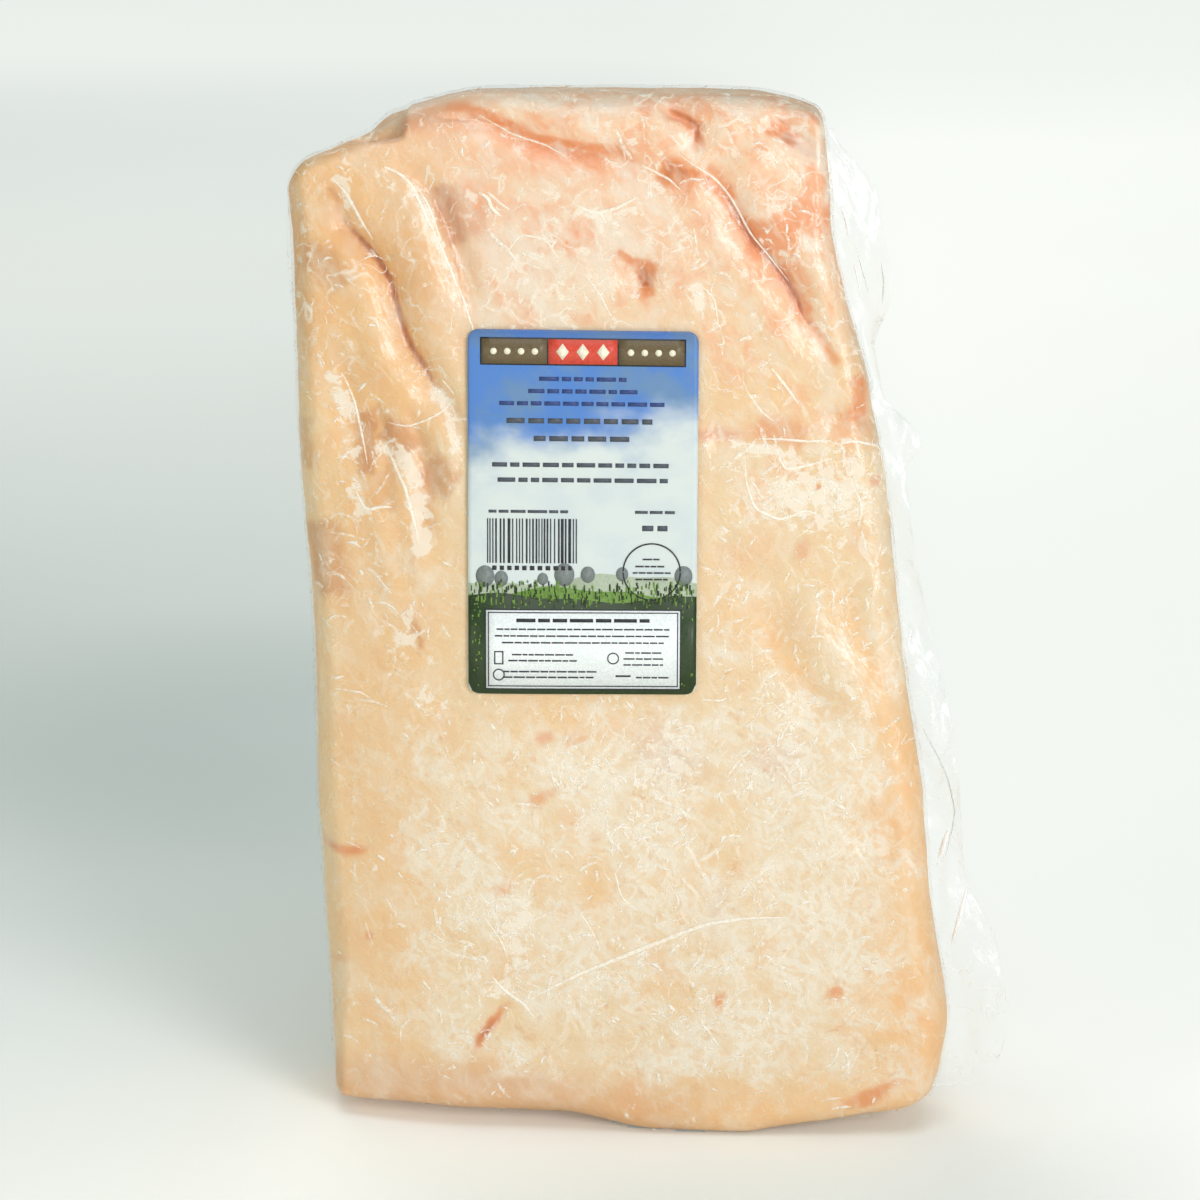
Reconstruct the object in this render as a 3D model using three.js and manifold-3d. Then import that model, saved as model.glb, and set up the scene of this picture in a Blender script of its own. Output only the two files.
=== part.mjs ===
// Vacuum-packed pork belly slab, standing on its short end.
// Millimetres, +Z up, skin side facing -Y, origin on the floor under the middle of the whole pack.
//
// vacuum_pack  the frozen slab in its skin-tight bag, with the bag's loose margins down both sides
// label        the paper label on the skin side
import * as THREE from 'three';
import { mergeVertices } from 'three/addons/utils/BufferGeometryUtils.js';
import Module from 'manifold-3d';

const wasm = await Module();
wasm.setup();

// ---------------------------------------------------------------- driving sizes

const HEIGHT = 293.8;

// each side starts here at the floor and moves this far for each millimetre of height
const LEFT = { atFoot: -91.8, lean: -0.035 };
const RIGHT = { atFoot: 90, lean: -0.1257 };
const SKIN = { atFoot: -28.9, lean: 0.07 };
const MEAT = { atFoot: 13.1, lean: 0.026 };
const SHOULDER = { inset: 7.5, from: 220, to: 258, flare: 2.3 }; // the right side steps in at the top

// how the edges are rounded: across the face, up the face, and into the thickness
const ROUND = { across: 9, top: 8, skin: 14, meat: 9 };
const FOOT_ROUND = { up: 7, skin: 8, meat: 4, reach: 26 };
const TURNED_UNDER = { up: 12, skin: 27, from: 8, to: -22 }; // the left part of the foot's front edge

// the slab is slightly bent: its left part stands further back, more so at the foot
const BEND = { from: -40, to: -98, backAtFoot: 16, backAtTop: 10 };

const LABEL = { width: 63.5, height: 101.6, x: -18.1, z: 179.4, corner: 3, thick: 0.4, gap: 0.3 };
const LABEL_REST = 5; // folds fade out over this distance round the label

const FILM = { thick: 1.0, root: 7 };

// The lower share of the rows covers the lower part of the height, so that the folds above get
// more rows. The meat side, which is smooth, keeps every second row and column.
const SLAB_GRID = { across: 46, deep: 5, up: 58 };
const ROWS_BELOW = { share: 0.42, height: 0.6 };
const LABEL_GRID = { across: 8, up: 12 };

// ---------------------------------------------------------------- small helpers

const clamp = THREE.MathUtils.clamp;
const lerp = THREE.MathUtils.lerp;
const smooth = (from, to, value) => {
  const t = clamp((value - from) / (to - from), 0, 1);
  return t * t * (3 - 2 * t);
};
const bell = (value) => Math.exp(-value * value);

// ---------------------------------------------------------------- outline of the slab

// distance across at height z
function leftSide(z) {
  return LEFT.atFoot + LEFT.lean * z + 0.6 * Math.sin(z / 19);
}

function rightSide(z) {
  const { inset, from, to, flare } = SHOULDER;
  const shoulder = inset * smooth(from, to, z) - flare * smooth(to, HEIGHT, z);
  const footCorner = 9 * Math.pow(clamp((30 - z) / 30, 0, 1), 1.5);
  return RIGHT.atFoot + RIGHT.lean * z - shoulder - footCorner + 0.7 * Math.sin(z / 13);
}

// Height of the upper end, lower towards both corners. At the far left it also falls away from
// the skin side (inward 0) to the meat side (inward 1).
function topEnd(x, inward) {
  const leftDrop = 17 * Math.pow(clamp((-48 - x) / 48, 0, 1.2), 1.4) + 10 * inward * smooth(-72, -88, x);
  const rightDrop = 6 * Math.pow(clamp((x - 24) / 24, 0, 1.5), 2);
  return HEIGHT - leftDrop - rightDrop;
}

// Height of the lower end: flat in the middle, lifted at both corners, more on the right.
// SINK presses the middle into the floor, and the solid is then cut flat there.
const SINK = 0.5;
function footEnd(x) {
  const rightLift = 0.14 * Math.max(0, x - 28);
  const leftLift = 2 * smooth(-50, -90, x);
  return rightLift + leftLift - SINK;
}

function bendBack(x, z) {
  const turn = clamp((BEND.from - x) / (BEND.from - BEND.to), 0, 1.2);
  return lerp(BEND.backAtFoot, BEND.backAtTop, clamp(z / HEIGHT, 0, 1)) * turn * turn;
}

// the two big faces before any folds
const skinFace = (x, z) => SKIN.atFoot + SKIN.lean * z + bendBack(x, z);
const meatFace = (x, z) => MEAT.atFoot + MEAT.lean * z + bendBack(x, z);

// ---------------------------------------------------------------- folds of the skin side

// Each fold runs along a few points [x, z]. A crease is a soft valley between two swellings; where it
// has a drop, the ground on its right lies lower and rises back slowly. A ridge stands out.
const CREASES = {
  firstRoll: {
    depth: 5,
    width: 3.4,
    run: [
      [-89.5, 270], [-86, 263], [-84, 257], [-79, 252], [-75, 247.5], [-71.5, 241.5], [-69.5, 233],
      [-66.5, 224.5], [-63, 219.5], [-59, 213], [-54, 207], [-48, 201], [-42, 197],
    ],
  },
  secondRoll: {
    depth: 3,
    width: 2.8,
    drop: 3,
    run: [
      [-72.5, 274.5], [-65, 270.5], [-59.5, 264.5], [-56.5, 257.5], [-54, 250.5], [-51, 242],
      [-48.5, 234], [-47, 226],
    ],
  },
  upperLip: {
    depth: 4.2,
    width: 3.6,
    run: [
      [-67, 290], [-57, 289], [-49, 288], [-43.5, 285.5], [-36.5, 282.5], [-29.5, 280], [-20.5, 278.5],
      [-11, 277.5], [-2.5, 275], [5, 272],
    ],
  },
  rightFold: {
    depth: 4,
    width: 3.2,
    run: [
      [12, 277], [16.5, 273.5], [19.5, 268.5], [22.5, 264], [28, 254.5], [33, 249.5], [37, 244],
      [40, 239], [42, 234], [47.5, 227], [53, 218],
    ],
  },
  branch: {
    depth: 2.8,
    width: 3,
    run: [
      [1.5, 291.5], [5.5, 289.5], [9.5, 288], [13, 285.5], [12, 281], [12.5, 277],
    ],
  },
  corner: { depth: 3, width: 3.8, run: [[31, 290], [38, 285], [42, 282], [47.5, 278.5]] },
  cornerFlank: { depth: 1.4, width: 4.4, run: [[24, 275], [32.5, 269], [38, 262], [46, 250]] },
  leftFlank: { depth: 1.6, width: 4, run: [[-88, 225], [-84.5, 218], [-82, 208], [-78, 190]] },
  leftNotch: { depth: 1.7, width: 2.6, run: [[-76, 210], [-74, 202], [-72.5, 195], [-71, 186]] },
  leftPocket: {
    depth: 2.2,
    width: 3.2,
    run: [
      [-67, 210], [-65, 203], [-62, 193], [-60.5, 186], [-62, 179], [-62, 168],
    ],
  },
  rightWaist: { depth: 2.1, width: 4, run: [[10, 204], [20, 201.5], [31, 202.5], [44, 203]] },
  rightHip: { depth: 2.2, width: 4.2, run: [[44, 207], [51, 206.5], [61, 205], [72, 205]] },
  rightLowOne: { depth: 2, width: 5.4, run: [[28, 158], [36, 144.5], [45, 130], [52, 112]] },
  rightLowTwo: { depth: 2, width: 5.4, run: [[52, 162], [60, 147.5], [66, 136], [71, 118]] },
  rightHem: { depth: 1.4, width: 5, run: [[55, 85], [66, 88], [73, 95]] },
};
const DROP_FADE = 12; // the lower ground beside a fold rises back over this distance

const RIDGES = {
  leftOuter: { height: 0.8, width: 4.6, run: [[-89, 208], [-87, 190], [-82, 170]] },
  leftMiddle: { height: 1.2, width: 3.8, run: [[-78.5, 196], [-76.5, 180], [-73.5, 165], [-70, 150]] },
  leftInner: { height: 1.1, width: 3.6, run: [[-69, 194], [-67, 182], [-64.5, 168], [-63, 154]] },
  nearLabel: { height: 0.8, width: 3.6, run: [[-60, 208], [-56, 196], [-55, 180]] },
  rightLowOne: { height: 1.6, width: 6, run: [[40, 158], [45, 147.5], [56, 133], [66, 116]] },
  rightLowTwo: { height: 1.5, width: 5.4, run: [[59, 162], [67, 143], [74, 126]] },
  rightShoulder: { height: 1.2, width: 5.4, run: [[22, 282], [36, 266], [46, 252], [55, 232]] },
};

const PIT = { x: -3, z: 245, depth: 3.6, across: 4.4, up: 4 };

// at the upper left the skin stops short and the end of the meat steps back behind it
const STEP = { x: -68.5, z: 282, back: 13 };

// distance from a point to a run of points, how far along the run the nearest place is, and the side
// of the run that the point lies on (1 is its right)
function nearest(run, x, z) {
  let total = 0;
  let best = { distance: Infinity, at: 0, side: 1 };
  for (let i = 1; i < run.length; i++) {
    const [x0, z0] = run[i - 1];
    const [dx, dz] = [run[i][0] - x0, run[i][1] - z0];
    const length = Math.hypot(dx, dz);
    const t = clamp(((x - x0) * dx + (z - z0) * dz) / (length * length), 0, 1);
    const distance = Math.hypot(x - x0 - t * dx, z - z0 - t * dz);
    const side = Math.sign(dx * (z - z0) - dz * (x - x0));
    if (distance < best.distance) best = { distance, at: total + t * length, side };
    total += length;
  }
  return { distance: best.distance, along: best.at / total, side: best.side };
}

// a fold is deepest in its middle and runs out at both ends, a crease more slowly than a ridge
const taper = (along) => smooth(0, 0.15, along) * smooth(1, 0.8, along);
const longTaper = (along) => smooth(-0.05, 0.3, along) * smooth(1.05, 0.6, along);

function creaseHeight({ run, depth, width, drop = 0 }, x, z) {
  const { distance, along, side } = nearest(run, x, z);
  const rounding = 0.5 * width;
  const valley = Math.exp((rounding - Math.hypot(distance, rounding)) / (1.15 * width));
  const bank = 0.35 * bell((distance - 2.3 * width) / (1.5 * width));
  const right = side * distance;
  const fall = smooth(-1.5, 2.5, right) * Math.exp(-Math.max(right, 0) / DROP_FADE);
  return (depth * (bank - 0.82 * valley) - drop * fall) * longTaper(along);
}

function ridgeHeight(fold, x, z) {
  const { distance, along } = nearest(fold.run, x, z);
  return fold.height * bell(distance / fold.width) * taper(along);
}

// 1 on the label, falling to 0 a little way outside it
function underLabel(x, z) {
  const across = Math.abs(x - LABEL.x) - LABEL.width / 2;
  const up = Math.abs(z - LABEL.z) - LABEL.height / 2;
  return 1 - smooth(0, LABEL_REST, Math.max(across, up));
}

function broadSwell(x, z) {
  return 0.8 * Math.sin(x / 23 + 0.6) * Math.sin(z / 37 + 1.1);
}

// how far the skin side stands out from its plain form
function skinRelief(x, z) {
  let folds = -PIT.depth * bell(Math.hypot((x - PIT.x) / PIT.across, (z - PIT.z) / PIT.up));
  for (const fold of Object.values(CREASES)) folds += creaseHeight(fold, x, z);
  for (const fold of Object.values(RIDGES)) folds += ridgeHeight(fold, x, z);
  folds -= STEP.back * smooth(STEP.x + 2, STEP.x - 3, x) * smooth(STEP.z - 2, STEP.z + 3, z);
  return broadSwell(x, z) + folds * (1 - underLabel(x, z));
}

// the meat side is only softly uneven
function meatRelief(x, z) {
  return 1.1 * Math.sin(x / 17 + z / 60) * Math.sin(z / 29 + 0.4) - 0.6;
}

// ---------------------------------------------------------------- the slab

const half = new THREE.Vector3(
  (RIGHT.atFoot - LEFT.atFoot) / 2,
  (MEAT.atFoot - SKIN.atFoot) / 2,
  HEIGHT / 2,
);

// more rows towards the edges, where the surface turns
const crowd = (t, strength) => lerp(t, Math.sin((t * Math.PI) / 2), strength);

// more rows in the upper part
function gradeUp(c) {
  const row = (c + 1) / 2;
  const { share, height } = ROWS_BELOW;
  const lower = (row / share) * height;
  const upper = height + ((row - share) / (1 - share)) * (1 - height);
  return 2 * (row < share ? lower : upper) - 1;
}

// the place on the edge of every second cell
function everySecond(t, cells) {
  const cell = Math.round(((t + 1) / 2) * cells);
  return (4 * Math.floor(cell / 2)) / cells - 1;
}

// the radii of the edges near a point of the unit cube
function edgeRadius(a, b, c) {
  const aboveFoot = smooth(0, FOOT_ROUND.reach, ((c + 1) / 2) * HEIGHT);
  const under = smooth(TURNED_UNDER.from / half.x, TURNED_UNDER.to / half.x, a);
  const footSkin = lerp(FOOT_ROUND.skin, TURNED_UNDER.skin, under);
  const footUp = lerp(FOOT_ROUND.up, TURNED_UNDER.up, under * smooth(0.3, -0.6, b));
  const skin = lerp(footSkin, ROUND.skin, aboveFoot);
  const meat = lerp(FOOT_ROUND.meat, ROUND.meat, aboveFoot);
  const upperRight = smooth(0.6, 1, a) * smooth(0.6, 1, c);
  const lowerLeft = smooth(-0.6, -1, a) * smooth(-0.6, -1, c);
  const sharp = 1 - 0.55 * upperRight - 0.5 * lowerLeft;
  return new THREE.Vector3(ROUND.across * sharp, b < 0 ? skin : meat, (c < 0 ? footUp : ROUND.top) * sharp);
}

// the point of a plain rounded block for a point of the unit cube, and its outward direction
function roundedBlock(a, b, c) {
  const radius = edgeRadius(a, b, c);
  const at = new THREE.Vector3(a, b, c).multiply(half);
  const side = new THREE.Vector3(Math.sign(a), Math.sign(b), Math.sign(c));
  const inner = half.clone().sub(radius).multiply(side);
  if (at.x * side.x < inner.x * side.x) inner.x = at.x;
  if (at.y * side.y < inner.y * side.y) inner.y = at.y;
  if (at.z * side.z < inner.z * side.z) inner.z = at.z;
  const outward = at.clone().sub(inner).divide(radius).normalize();
  return { point: inner.add(outward.clone().multiply(radius)), outward };
}

// the surface of the pack for a point of the unit cube
function packSurface(a, b, c) {
  const { point, outward } = roundedBlock(crowd(a, 0.4), crowd(b, 1), crowd(gradeUp(c), 0.4));
  const share = point.clone().divide(half).addScalar(1).divideScalar(2);
  const level = share.z * HEIGHT;
  const x = lerp(leftSide(level), rightSide(level), share.x);
  const z = lerp(footEnd(x), topEnd(x, share.y), share.z);
  const y = lerp(skinFace(x, z), meatFace(x, z), share.y);
  const skinSide = smooth(0.2, -0.5, outward.y);
  const meatSide = smooth(-0.2, 0.5, outward.y);
  const relief = skinSide * skinRelief(x, z) + meatSide * meatRelief(x, z);
  return new THREE.Vector3(x, y, z).addScaledVector(outward, relief);
}

function slabGeometry() {
  const { across, deep, up } = SLAB_GRID;
  const geometry = new THREE.BoxGeometry(2, 2, 2, across, deep, up);
  const position = geometry.getAttribute('position');
  for (let i = 0; i < position.count; i++) {
    const [a, b, c] = [position.getX(i), position.getY(i), position.getZ(i)];
    const p = b < 1 ? packSurface(a, b, c) : packSurface(everySecond(a, across), b, everySecond(c, up));
    position.setXYZ(i, p.x, p.y, Math.max(0, p.z));
  }
  return geometry;
}

// ---------------------------------------------------------------- loose film margins

// the right margin swings out in lobes and grows towards the foot
function rightReach(z) {
  const upper = 12.8 * smooth(284, 262, z) * smooth(218, 244, z);
  const waist = 10 * bell((z - 195) / 8.5);
  const lower = (4.5 + 5.5 * smooth(178, 115, z) + 7.1 * smooth(70, 46, z)) * smooth(205, 188, z);
  return Math.max(1.2, upper, waist, lower);
}

// the left one only just shows near the top
const leftReach = (z) => 0.4 + 3.3 * smooth(212, 242, z) * smooth(268, 256, z);

// share: how far into the thickness the margin leaves the slab
const RIGHT_MARGIN = {
  side: 1, edge: rightSide, reach: rightReach, share: 0.78, wave: 2.6,
  from: 3, to: 282, rows: 56, columns: 4,
};
const LEFT_MARGIN = {
  side: -1, edge: leftSide, reach: leftReach, share: 0.8, wave: 1.2,
  from: 205, to: 268, rows: 14, columns: 3,
};

// a thin wavy sheet rooted inside the slab
function marginGeometry({ side, edge, reach, from, to, rows, columns, share, wave }) {
  const geometry = new THREE.BoxGeometry(1, 1, 1, columns, 1, rows);
  const position = geometry.getAttribute('position');
  for (let i = 0; i < position.count; i++) {
    const out = position.getX(i) + 0.5;
    const z = lerp(from, to, position.getZ(i) + 0.5);
    const x = edge(z) + side * lerp(-FILM.root, reach(z), out);
    const middle = lerp(skinFace(x, z), meatFace(x, z), share);
    const sway = wave * out * Math.sin(z / 11 + 2 * out);
    position.setXYZ(i, x, middle + sway + position.getY(i) * FILM.thick, z);
  }
  if (side < 0) flipFaces(geometry);
  return geometry;
}

// a mirrored shape needs its triangles turned over
function flipFaces(geometry) {
  const index = geometry.getIndex();
  for (let i = 0; i < index.count; i += 3) {
    const first = index.getX(i);
    index.setX(i, index.getX(i + 1));
    index.setX(i + 1, first);
  }
}

// ---------------------------------------------------------------- the label

// the skin side at rest, which the label lies on
function labelBed(x, z) {
  return skinFace(x, z) - broadSwell(x, z);
}

// a grid point pulled in so that the sheet's corners are round
function roundCorner(u, v) {
  const halfLabel = new THREE.Vector2(LABEL.width / 2, LABEL.height / 2);
  const at = new THREE.Vector2(u, v).multiply(halfLabel);
  const core = halfLabel.clone().subScalar(LABEL.corner);
  const inner = at.clone().clamp(core.clone().negate(), core);
  const out = at.clone().sub(inner);
  if (out.length() > LABEL.corner) out.setLength(LABEL.corner);
  return inner.add(out);
}

function labelGeometry() {
  const { across, up } = LABEL_GRID;
  const geometry = new THREE.BoxGeometry(2, 1, 2, across, 1, up);
  const position = geometry.getAttribute('position');
  for (let i = 0; i < position.count; i++) {
    const flat = roundCorner(position.getX(i), position.getZ(i));
    const x = LABEL.x + flat.x;
    const z = LABEL.z + flat.y;
    const outward = LABEL.gap + (0.5 - position.getY(i)) * LABEL.thick;
    position.setXYZ(i, x, labelBed(x, z) - outward, z);
  }
  return geometry;
}

// ---------------------------------------------------------------- solids and scene

// one vertex for each place, and no triangle that has shrunk to a line
function merged(geometry) {
  geometry.deleteAttribute('normal');
  geometry.deleteAttribute('uv');
  const shape = mergeVertices(geometry, 1e-4);
  const corners = shape.getIndex().array;
  const kept = [];
  for (let i = 0; i < corners.length; i += 3) {
    const [p, q, r] = corners.slice(i, i + 3);
    if (p !== q && q !== r && r !== p) kept.push(p, q, r);
  }
  shape.setIndex(kept);
  return shape;
}

function toSolid(geometry) {
  const shape = merged(geometry);
  const vertProperties = new Float32Array(shape.getAttribute('position').array);
  const triVerts = new Uint32Array(shape.getIndex().array);
  return new wasm.Manifold(new wasm.Mesh({ numProp: 3, vertProperties, triVerts }));
}

function fromSolid(solid) {
  const mesh = solid.getMesh();
  const geometry = new THREE.BufferGeometry();
  geometry.setAttribute('position', new THREE.BufferAttribute(new Float32Array(mesh.vertProperties), 3));
  geometry.setIndex(new THREE.BufferAttribute(new Uint32Array(mesh.triVerts), 1));
  geometry.computeVertexNormals();
  return geometry;
}

function vacuumPack() {
  const slab = toSolid(slabGeometry());
  const margins = [RIGHT_MARGIN, LEFT_MARGIN].map((margin) => toSolid(marginGeometry(margin)));
  const pack = slab.add(margins[0]).add(margins[1]);
  const skin = new THREE.MeshStandardMaterial({ color: 0xedcfa8, roughness: 0.35, metalness: 0 });
  const mesh = new THREE.Mesh(fromSolid(pack), skin);
  mesh.name = 'vacuum_pack';
  return mesh;
}

function label() {
  const geometry = merged(labelGeometry());
  geometry.computeVertexNormals();
  const paper = new THREE.MeshStandardMaterial({ color: 0xb7cbe4, roughness: 0.5, metalness: 0 });
  const mesh = new THREE.Mesh(geometry, paper);
  mesh.name = 'label';
  return mesh;
}

const porkBellySlab = new THREE.Group();
porkBellySlab.add(vacuumPack(), label());

export default porkBellySlab;
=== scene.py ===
"""Vacuum-packed pork belly slab with its paper label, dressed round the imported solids.

Laid out as an add-on and run as a script. Lengths in the tables are millimetres, and every mesh is
turned into metres when it is made. +Z is up and the skin side faces -Y.
"""
import math

import bpy
import numpy as np
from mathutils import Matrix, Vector
from mathutils.bvhtree import BVHTree


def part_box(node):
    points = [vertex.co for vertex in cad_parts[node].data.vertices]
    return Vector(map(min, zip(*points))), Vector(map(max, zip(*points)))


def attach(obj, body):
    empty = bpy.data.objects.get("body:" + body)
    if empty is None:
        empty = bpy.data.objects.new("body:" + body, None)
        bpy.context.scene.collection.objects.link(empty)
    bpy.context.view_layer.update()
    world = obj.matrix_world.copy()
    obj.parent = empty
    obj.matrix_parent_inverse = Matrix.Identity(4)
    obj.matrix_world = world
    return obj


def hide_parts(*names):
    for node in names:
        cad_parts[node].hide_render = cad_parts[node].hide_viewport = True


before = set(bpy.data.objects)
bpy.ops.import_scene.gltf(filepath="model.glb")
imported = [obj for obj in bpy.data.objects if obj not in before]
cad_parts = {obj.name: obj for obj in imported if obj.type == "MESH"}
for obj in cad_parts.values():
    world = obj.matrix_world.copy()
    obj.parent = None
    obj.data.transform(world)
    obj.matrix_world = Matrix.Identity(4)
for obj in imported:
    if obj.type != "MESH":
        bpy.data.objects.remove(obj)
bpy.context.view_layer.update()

bl_info = {
    "name": "Pork belly slab",
    "version": (1, 0, 0),
    "blender": (4, 5, 0),
    "location": "3D View > Sidebar > Pork belly",
    "description": "Makes a vacuum-packed pork belly slab, its clear film, its label and a pale studio",
    "category": "Add Mesh",
}

# ---------------------------------------------------------------- sizes of the pack, in millimetres

MM = 0.001
HEIGHT = 293.8

# each side starts here at the floor and moves this far for each millimetre of height
LEFT = dict(at_foot=-91.8, lean=-0.035)
RIGHT = dict(at_foot=90.0, lean=-0.1257)
SKIN = dict(at_foot=-28.9, lean=0.07)
MEAT = dict(at_foot=13.1, lean=0.026)
SHOULDER = dict(inset=7.5, start=220, end=258, flare=2.3)

ROUND = dict(across=9, top=8, skin=14, meat=9)
FOOT_ROUND = dict(up=7, skin=8, meat=4, reach=26)
TURNED_UNDER = dict(up=12, skin=27, start=8, end=-22)
BEND = dict(start=-40, end=-98, at_foot=16, at_top=10)
FOOT_SINK = 0.5

LABEL_LOW, LABEL_HIGH = (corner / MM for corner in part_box("label"))
LABEL = dict(
    x=(LABEL_LOW.x + LABEL_HIGH.x) / 2,
    z=(LABEL_LOW.z + LABEL_HIGH.z) / 2,
    width=LABEL_HIGH.x - LABEL_LOW.x,
    height=LABEL_HIGH.z - LABEL_LOW.z,
    corner=3.0,
    gap=0.3,
    thick=0.4,
)
LABEL_REST = 5.0  # folds fade out over this distance round the label

ROWS_BELOW = dict(share=0.42, height=0.55)
HALF = np.array([
    (RIGHT["at_foot"] - LEFT["at_foot"]) / 2,
    (MEAT["at_foot"] - SKIN["at_foot"]) / 2,
    HEIGHT / 2,
])

# Folds of the skin side: run of points (x, z), depth or height, width. A fold is soft all over where
# its cleft is 0, and has a keen line at its bottom where it is 1.
CREASES = (
    dict(name="first roll", depth=5, width=3.4, cleft=1,
         run=((-89.5, 270), (-86, 263), (-84, 257), (-79, 252), (-75, 247.5), (-71.5, 241.5), (-69.5, 233),
              (-66.5, 224.5), (-63, 219.5), (-59, 213), (-54, 207), (-48, 201), (-42, 197))),
    dict(name="second roll", depth=3, width=2.8, cleft=0.5, drop=3,
         run=((-72.5, 274.5), (-65, 270.5), (-59.5, 264.5), (-56.5, 257.5), (-54, 250.5), (-51, 242),
              (-48.5, 234), (-47, 226))),
    dict(name="upper lip", depth=4.2, width=3.6, cleft=0.5,
         run=((-67, 290), (-57, 289), (-49, 288), (-43.5, 285.5), (-36.5, 282.5), (-29.5, 280), (-20.5, 278.5),
              (-11, 277.5), (-2.5, 275), (5, 272))),
    dict(name="right fold", depth=4, width=3.2, cleft=1,
         run=((12, 277), (16.5, 273.5), (19.5, 268.5), (22.5, 264), (28, 254.5), (33, 249.5), (37, 244),
              (40, 239), (42, 234), (47.5, 227), (53, 218))),
    dict(name="branch", depth=2.8, width=3, cleft=0.9,
         run=((1.5, 291.5), (5.5, 289.5), (9.5, 288), (13, 285.5), (12, 281), (12.5, 277))),
    dict(name="corner", depth=3, width=3.8, cleft=0.6, run=((31, 290), (38, 285), (42, 282), (47.5, 278.5))),
    dict(name="corner flank", depth=1.4, width=4.4, cleft=0.1, run=((24, 275), (32.5, 269), (38, 262), (46, 250))),
    dict(name="left flank", depth=1.6, width=4.0, cleft=0.2, run=((-88, 225), (-84.5, 218), (-82, 208), (-78, 190))),
    dict(name="left notch", depth=1.7, width=2.6, cleft=0.3, run=((-76, 210), (-74, 202), (-72.5, 195), (-71, 186))),
    dict(name="left pocket", depth=2.2, width=3.2, cleft=0.35,
         run=((-67, 210), (-65, 203), (-62, 193), (-60.5, 186), (-62, 179), (-62, 168))),
    dict(name="right waist", depth=2.1, width=4.0, cleft=0.5, run=((10, 204), (20, 201.5), (31, 202.5), (44, 203))),
    dict(name="right hip", depth=2.2, width=4.2, cleft=0.5, run=((44, 207), (51, 206.5), (61, 205), (72, 205))),
    dict(name="right low one", depth=1.3, width=5.4, cleft=0, run=((28, 158), (36, 144.5), (45, 130), (52, 112))),
    dict(name="right low two", depth=1.3, width=5.4, cleft=0, run=((52, 162), (60, 147.5), (66, 136), (71, 118))),
    dict(name="right hem", depth=1.4, width=5, cleft=0, run=((55, 85), (66, 88), (73, 95))),
)
RIDGES = (
    dict(name="left outer", run=((-89, 208), (-87, 190), (-82, 170)), height=0.8, width=4.6),
    dict(name="left middle", run=((-78.5, 196), (-76.5, 180), (-73.5, 165), (-70, 150)), height=1.2, width=3.8),
    dict(name="left inner", run=((-69, 194), (-67, 182), (-64.5, 168), (-63, 154)), height=1.1, width=3.6),
    dict(name="near label", run=((-60, 208), (-56, 196), (-55, 180)), height=0.8, width=3.6),
    dict(name="right low one", run=((40, 158), (45, 147.5), (56, 133), (66, 116)), height=1.2, width=6),
    dict(name="right low two", run=((59, 162), (67, 143), (74, 126)), height=1.2, width=5.4),
    dict(name="right shoulder", run=((22, 282), (36, 266), (46, 252), (55, 232)), height=1.2, width=5.4),
)
CLEFT = dict(depth=0.7, half=1.0)
DROP_FADE = 12  # the lower ground beside a fold with a drop rises back over this distance
PIT = dict(x=-3, z=245, depth=3.6, across=4.4, up=4)
STEP = dict(x=-68.5, z=282, back=13)

# ---------------------------------------------------------------- settings that a user would change


def tone(red, green, blue):
    """A screen colour, 0 to 255, as the linear colour that shaders take."""
    def linear(value):
        share = value / 255
        return share / 12.92 if share <= 0.04045 else ((share + 0.055) / 1.055) ** 2.4
    return linear(red), linear(green), linear(blue)


def colour_setting(name, description, default):
    return bpy.props.FloatVectorProperty(
        name=name, description=description, default=default, min=0, max=1, size=3, subtype="COLOR")


def length_setting(name, description, millimetres):
    return bpy.props.FloatProperty(
        name=name, description=description, default=millimetres * MM, min=0, subtype="DISTANCE", unit="LENGTH")


class SlabSettings(bpy.types.PropertyGroup):
    across: bpy.props.IntProperty(name="Cells across", description="Grid cells across the slab", default=198, min=8)
    deep: bpy.props.IntProperty(name="Cells deep", description="Grid cells through the slab", default=16, min=4)
    up: bpy.props.IntProperty(name="Cells up", description="Grid cells up the slab", default=330, min=8)
    inset: length_setting("Meat inset", "How far the meat lies inside the film", 0.45)
    lumps: length_setting("Lumps", "Height of the soft unevenness of the skin", 0.55)
    cream: colour_setting("Cream fat", "Pale fat in the lower half", tone(234, 204, 160))
    warm: colour_setting("Warm fat", "Deeper cream at the flanks", tone(240, 190, 131))
    peach: colour_setting("Peach", "Pinker skin of the upper part", tone(243, 202, 164))
    pale: colour_setting("Pale rose", "Whitish skin above the label", tone(240, 224, 202))
    fold: colour_setting("Fold", "Orange red inside the folds", tone(224, 136, 78))
    # The fold colour is partly the folds' own orange red, partly painted shade inside them.
    tan: colour_setting("Tan", "Brownish rolls at the upper left", tone(217, 162, 108))
    # The tan colour is partly the rolls' own colour, partly painted shade on them and at the foot.
    raw: colour_setting("Raw pink", "Lean showing through", tone(238, 162, 116))
    # The lit edge colour is painted light on the far left edge.
    edge: colour_setting("Lit edge", "Light rim of the left side", tone(252, 218, 168))
    lean: colour_setting("Lean", "Brownish pink where lean lies close under the film", tone(208, 152, 120))
    # The brown colour is partly the flesh's own, partly painted shade in the hollows between the small rolls.
    brown: colour_setting("Brown", "Deep orange brown between the small rolls", tone(198, 134, 84))
    mauve: colour_setting("Mauve", "Greyish pink where the ice is thick", tone(214, 182, 162))
    # The line colour is partly painted shade at the bottom of the creases.
    line: colour_setting("Line", "Dark red line at the bottom of a crease", tone(176, 94, 52))
    frost: colour_setting("Frost", "Ice under the film", tone(240, 228, 206))


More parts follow.
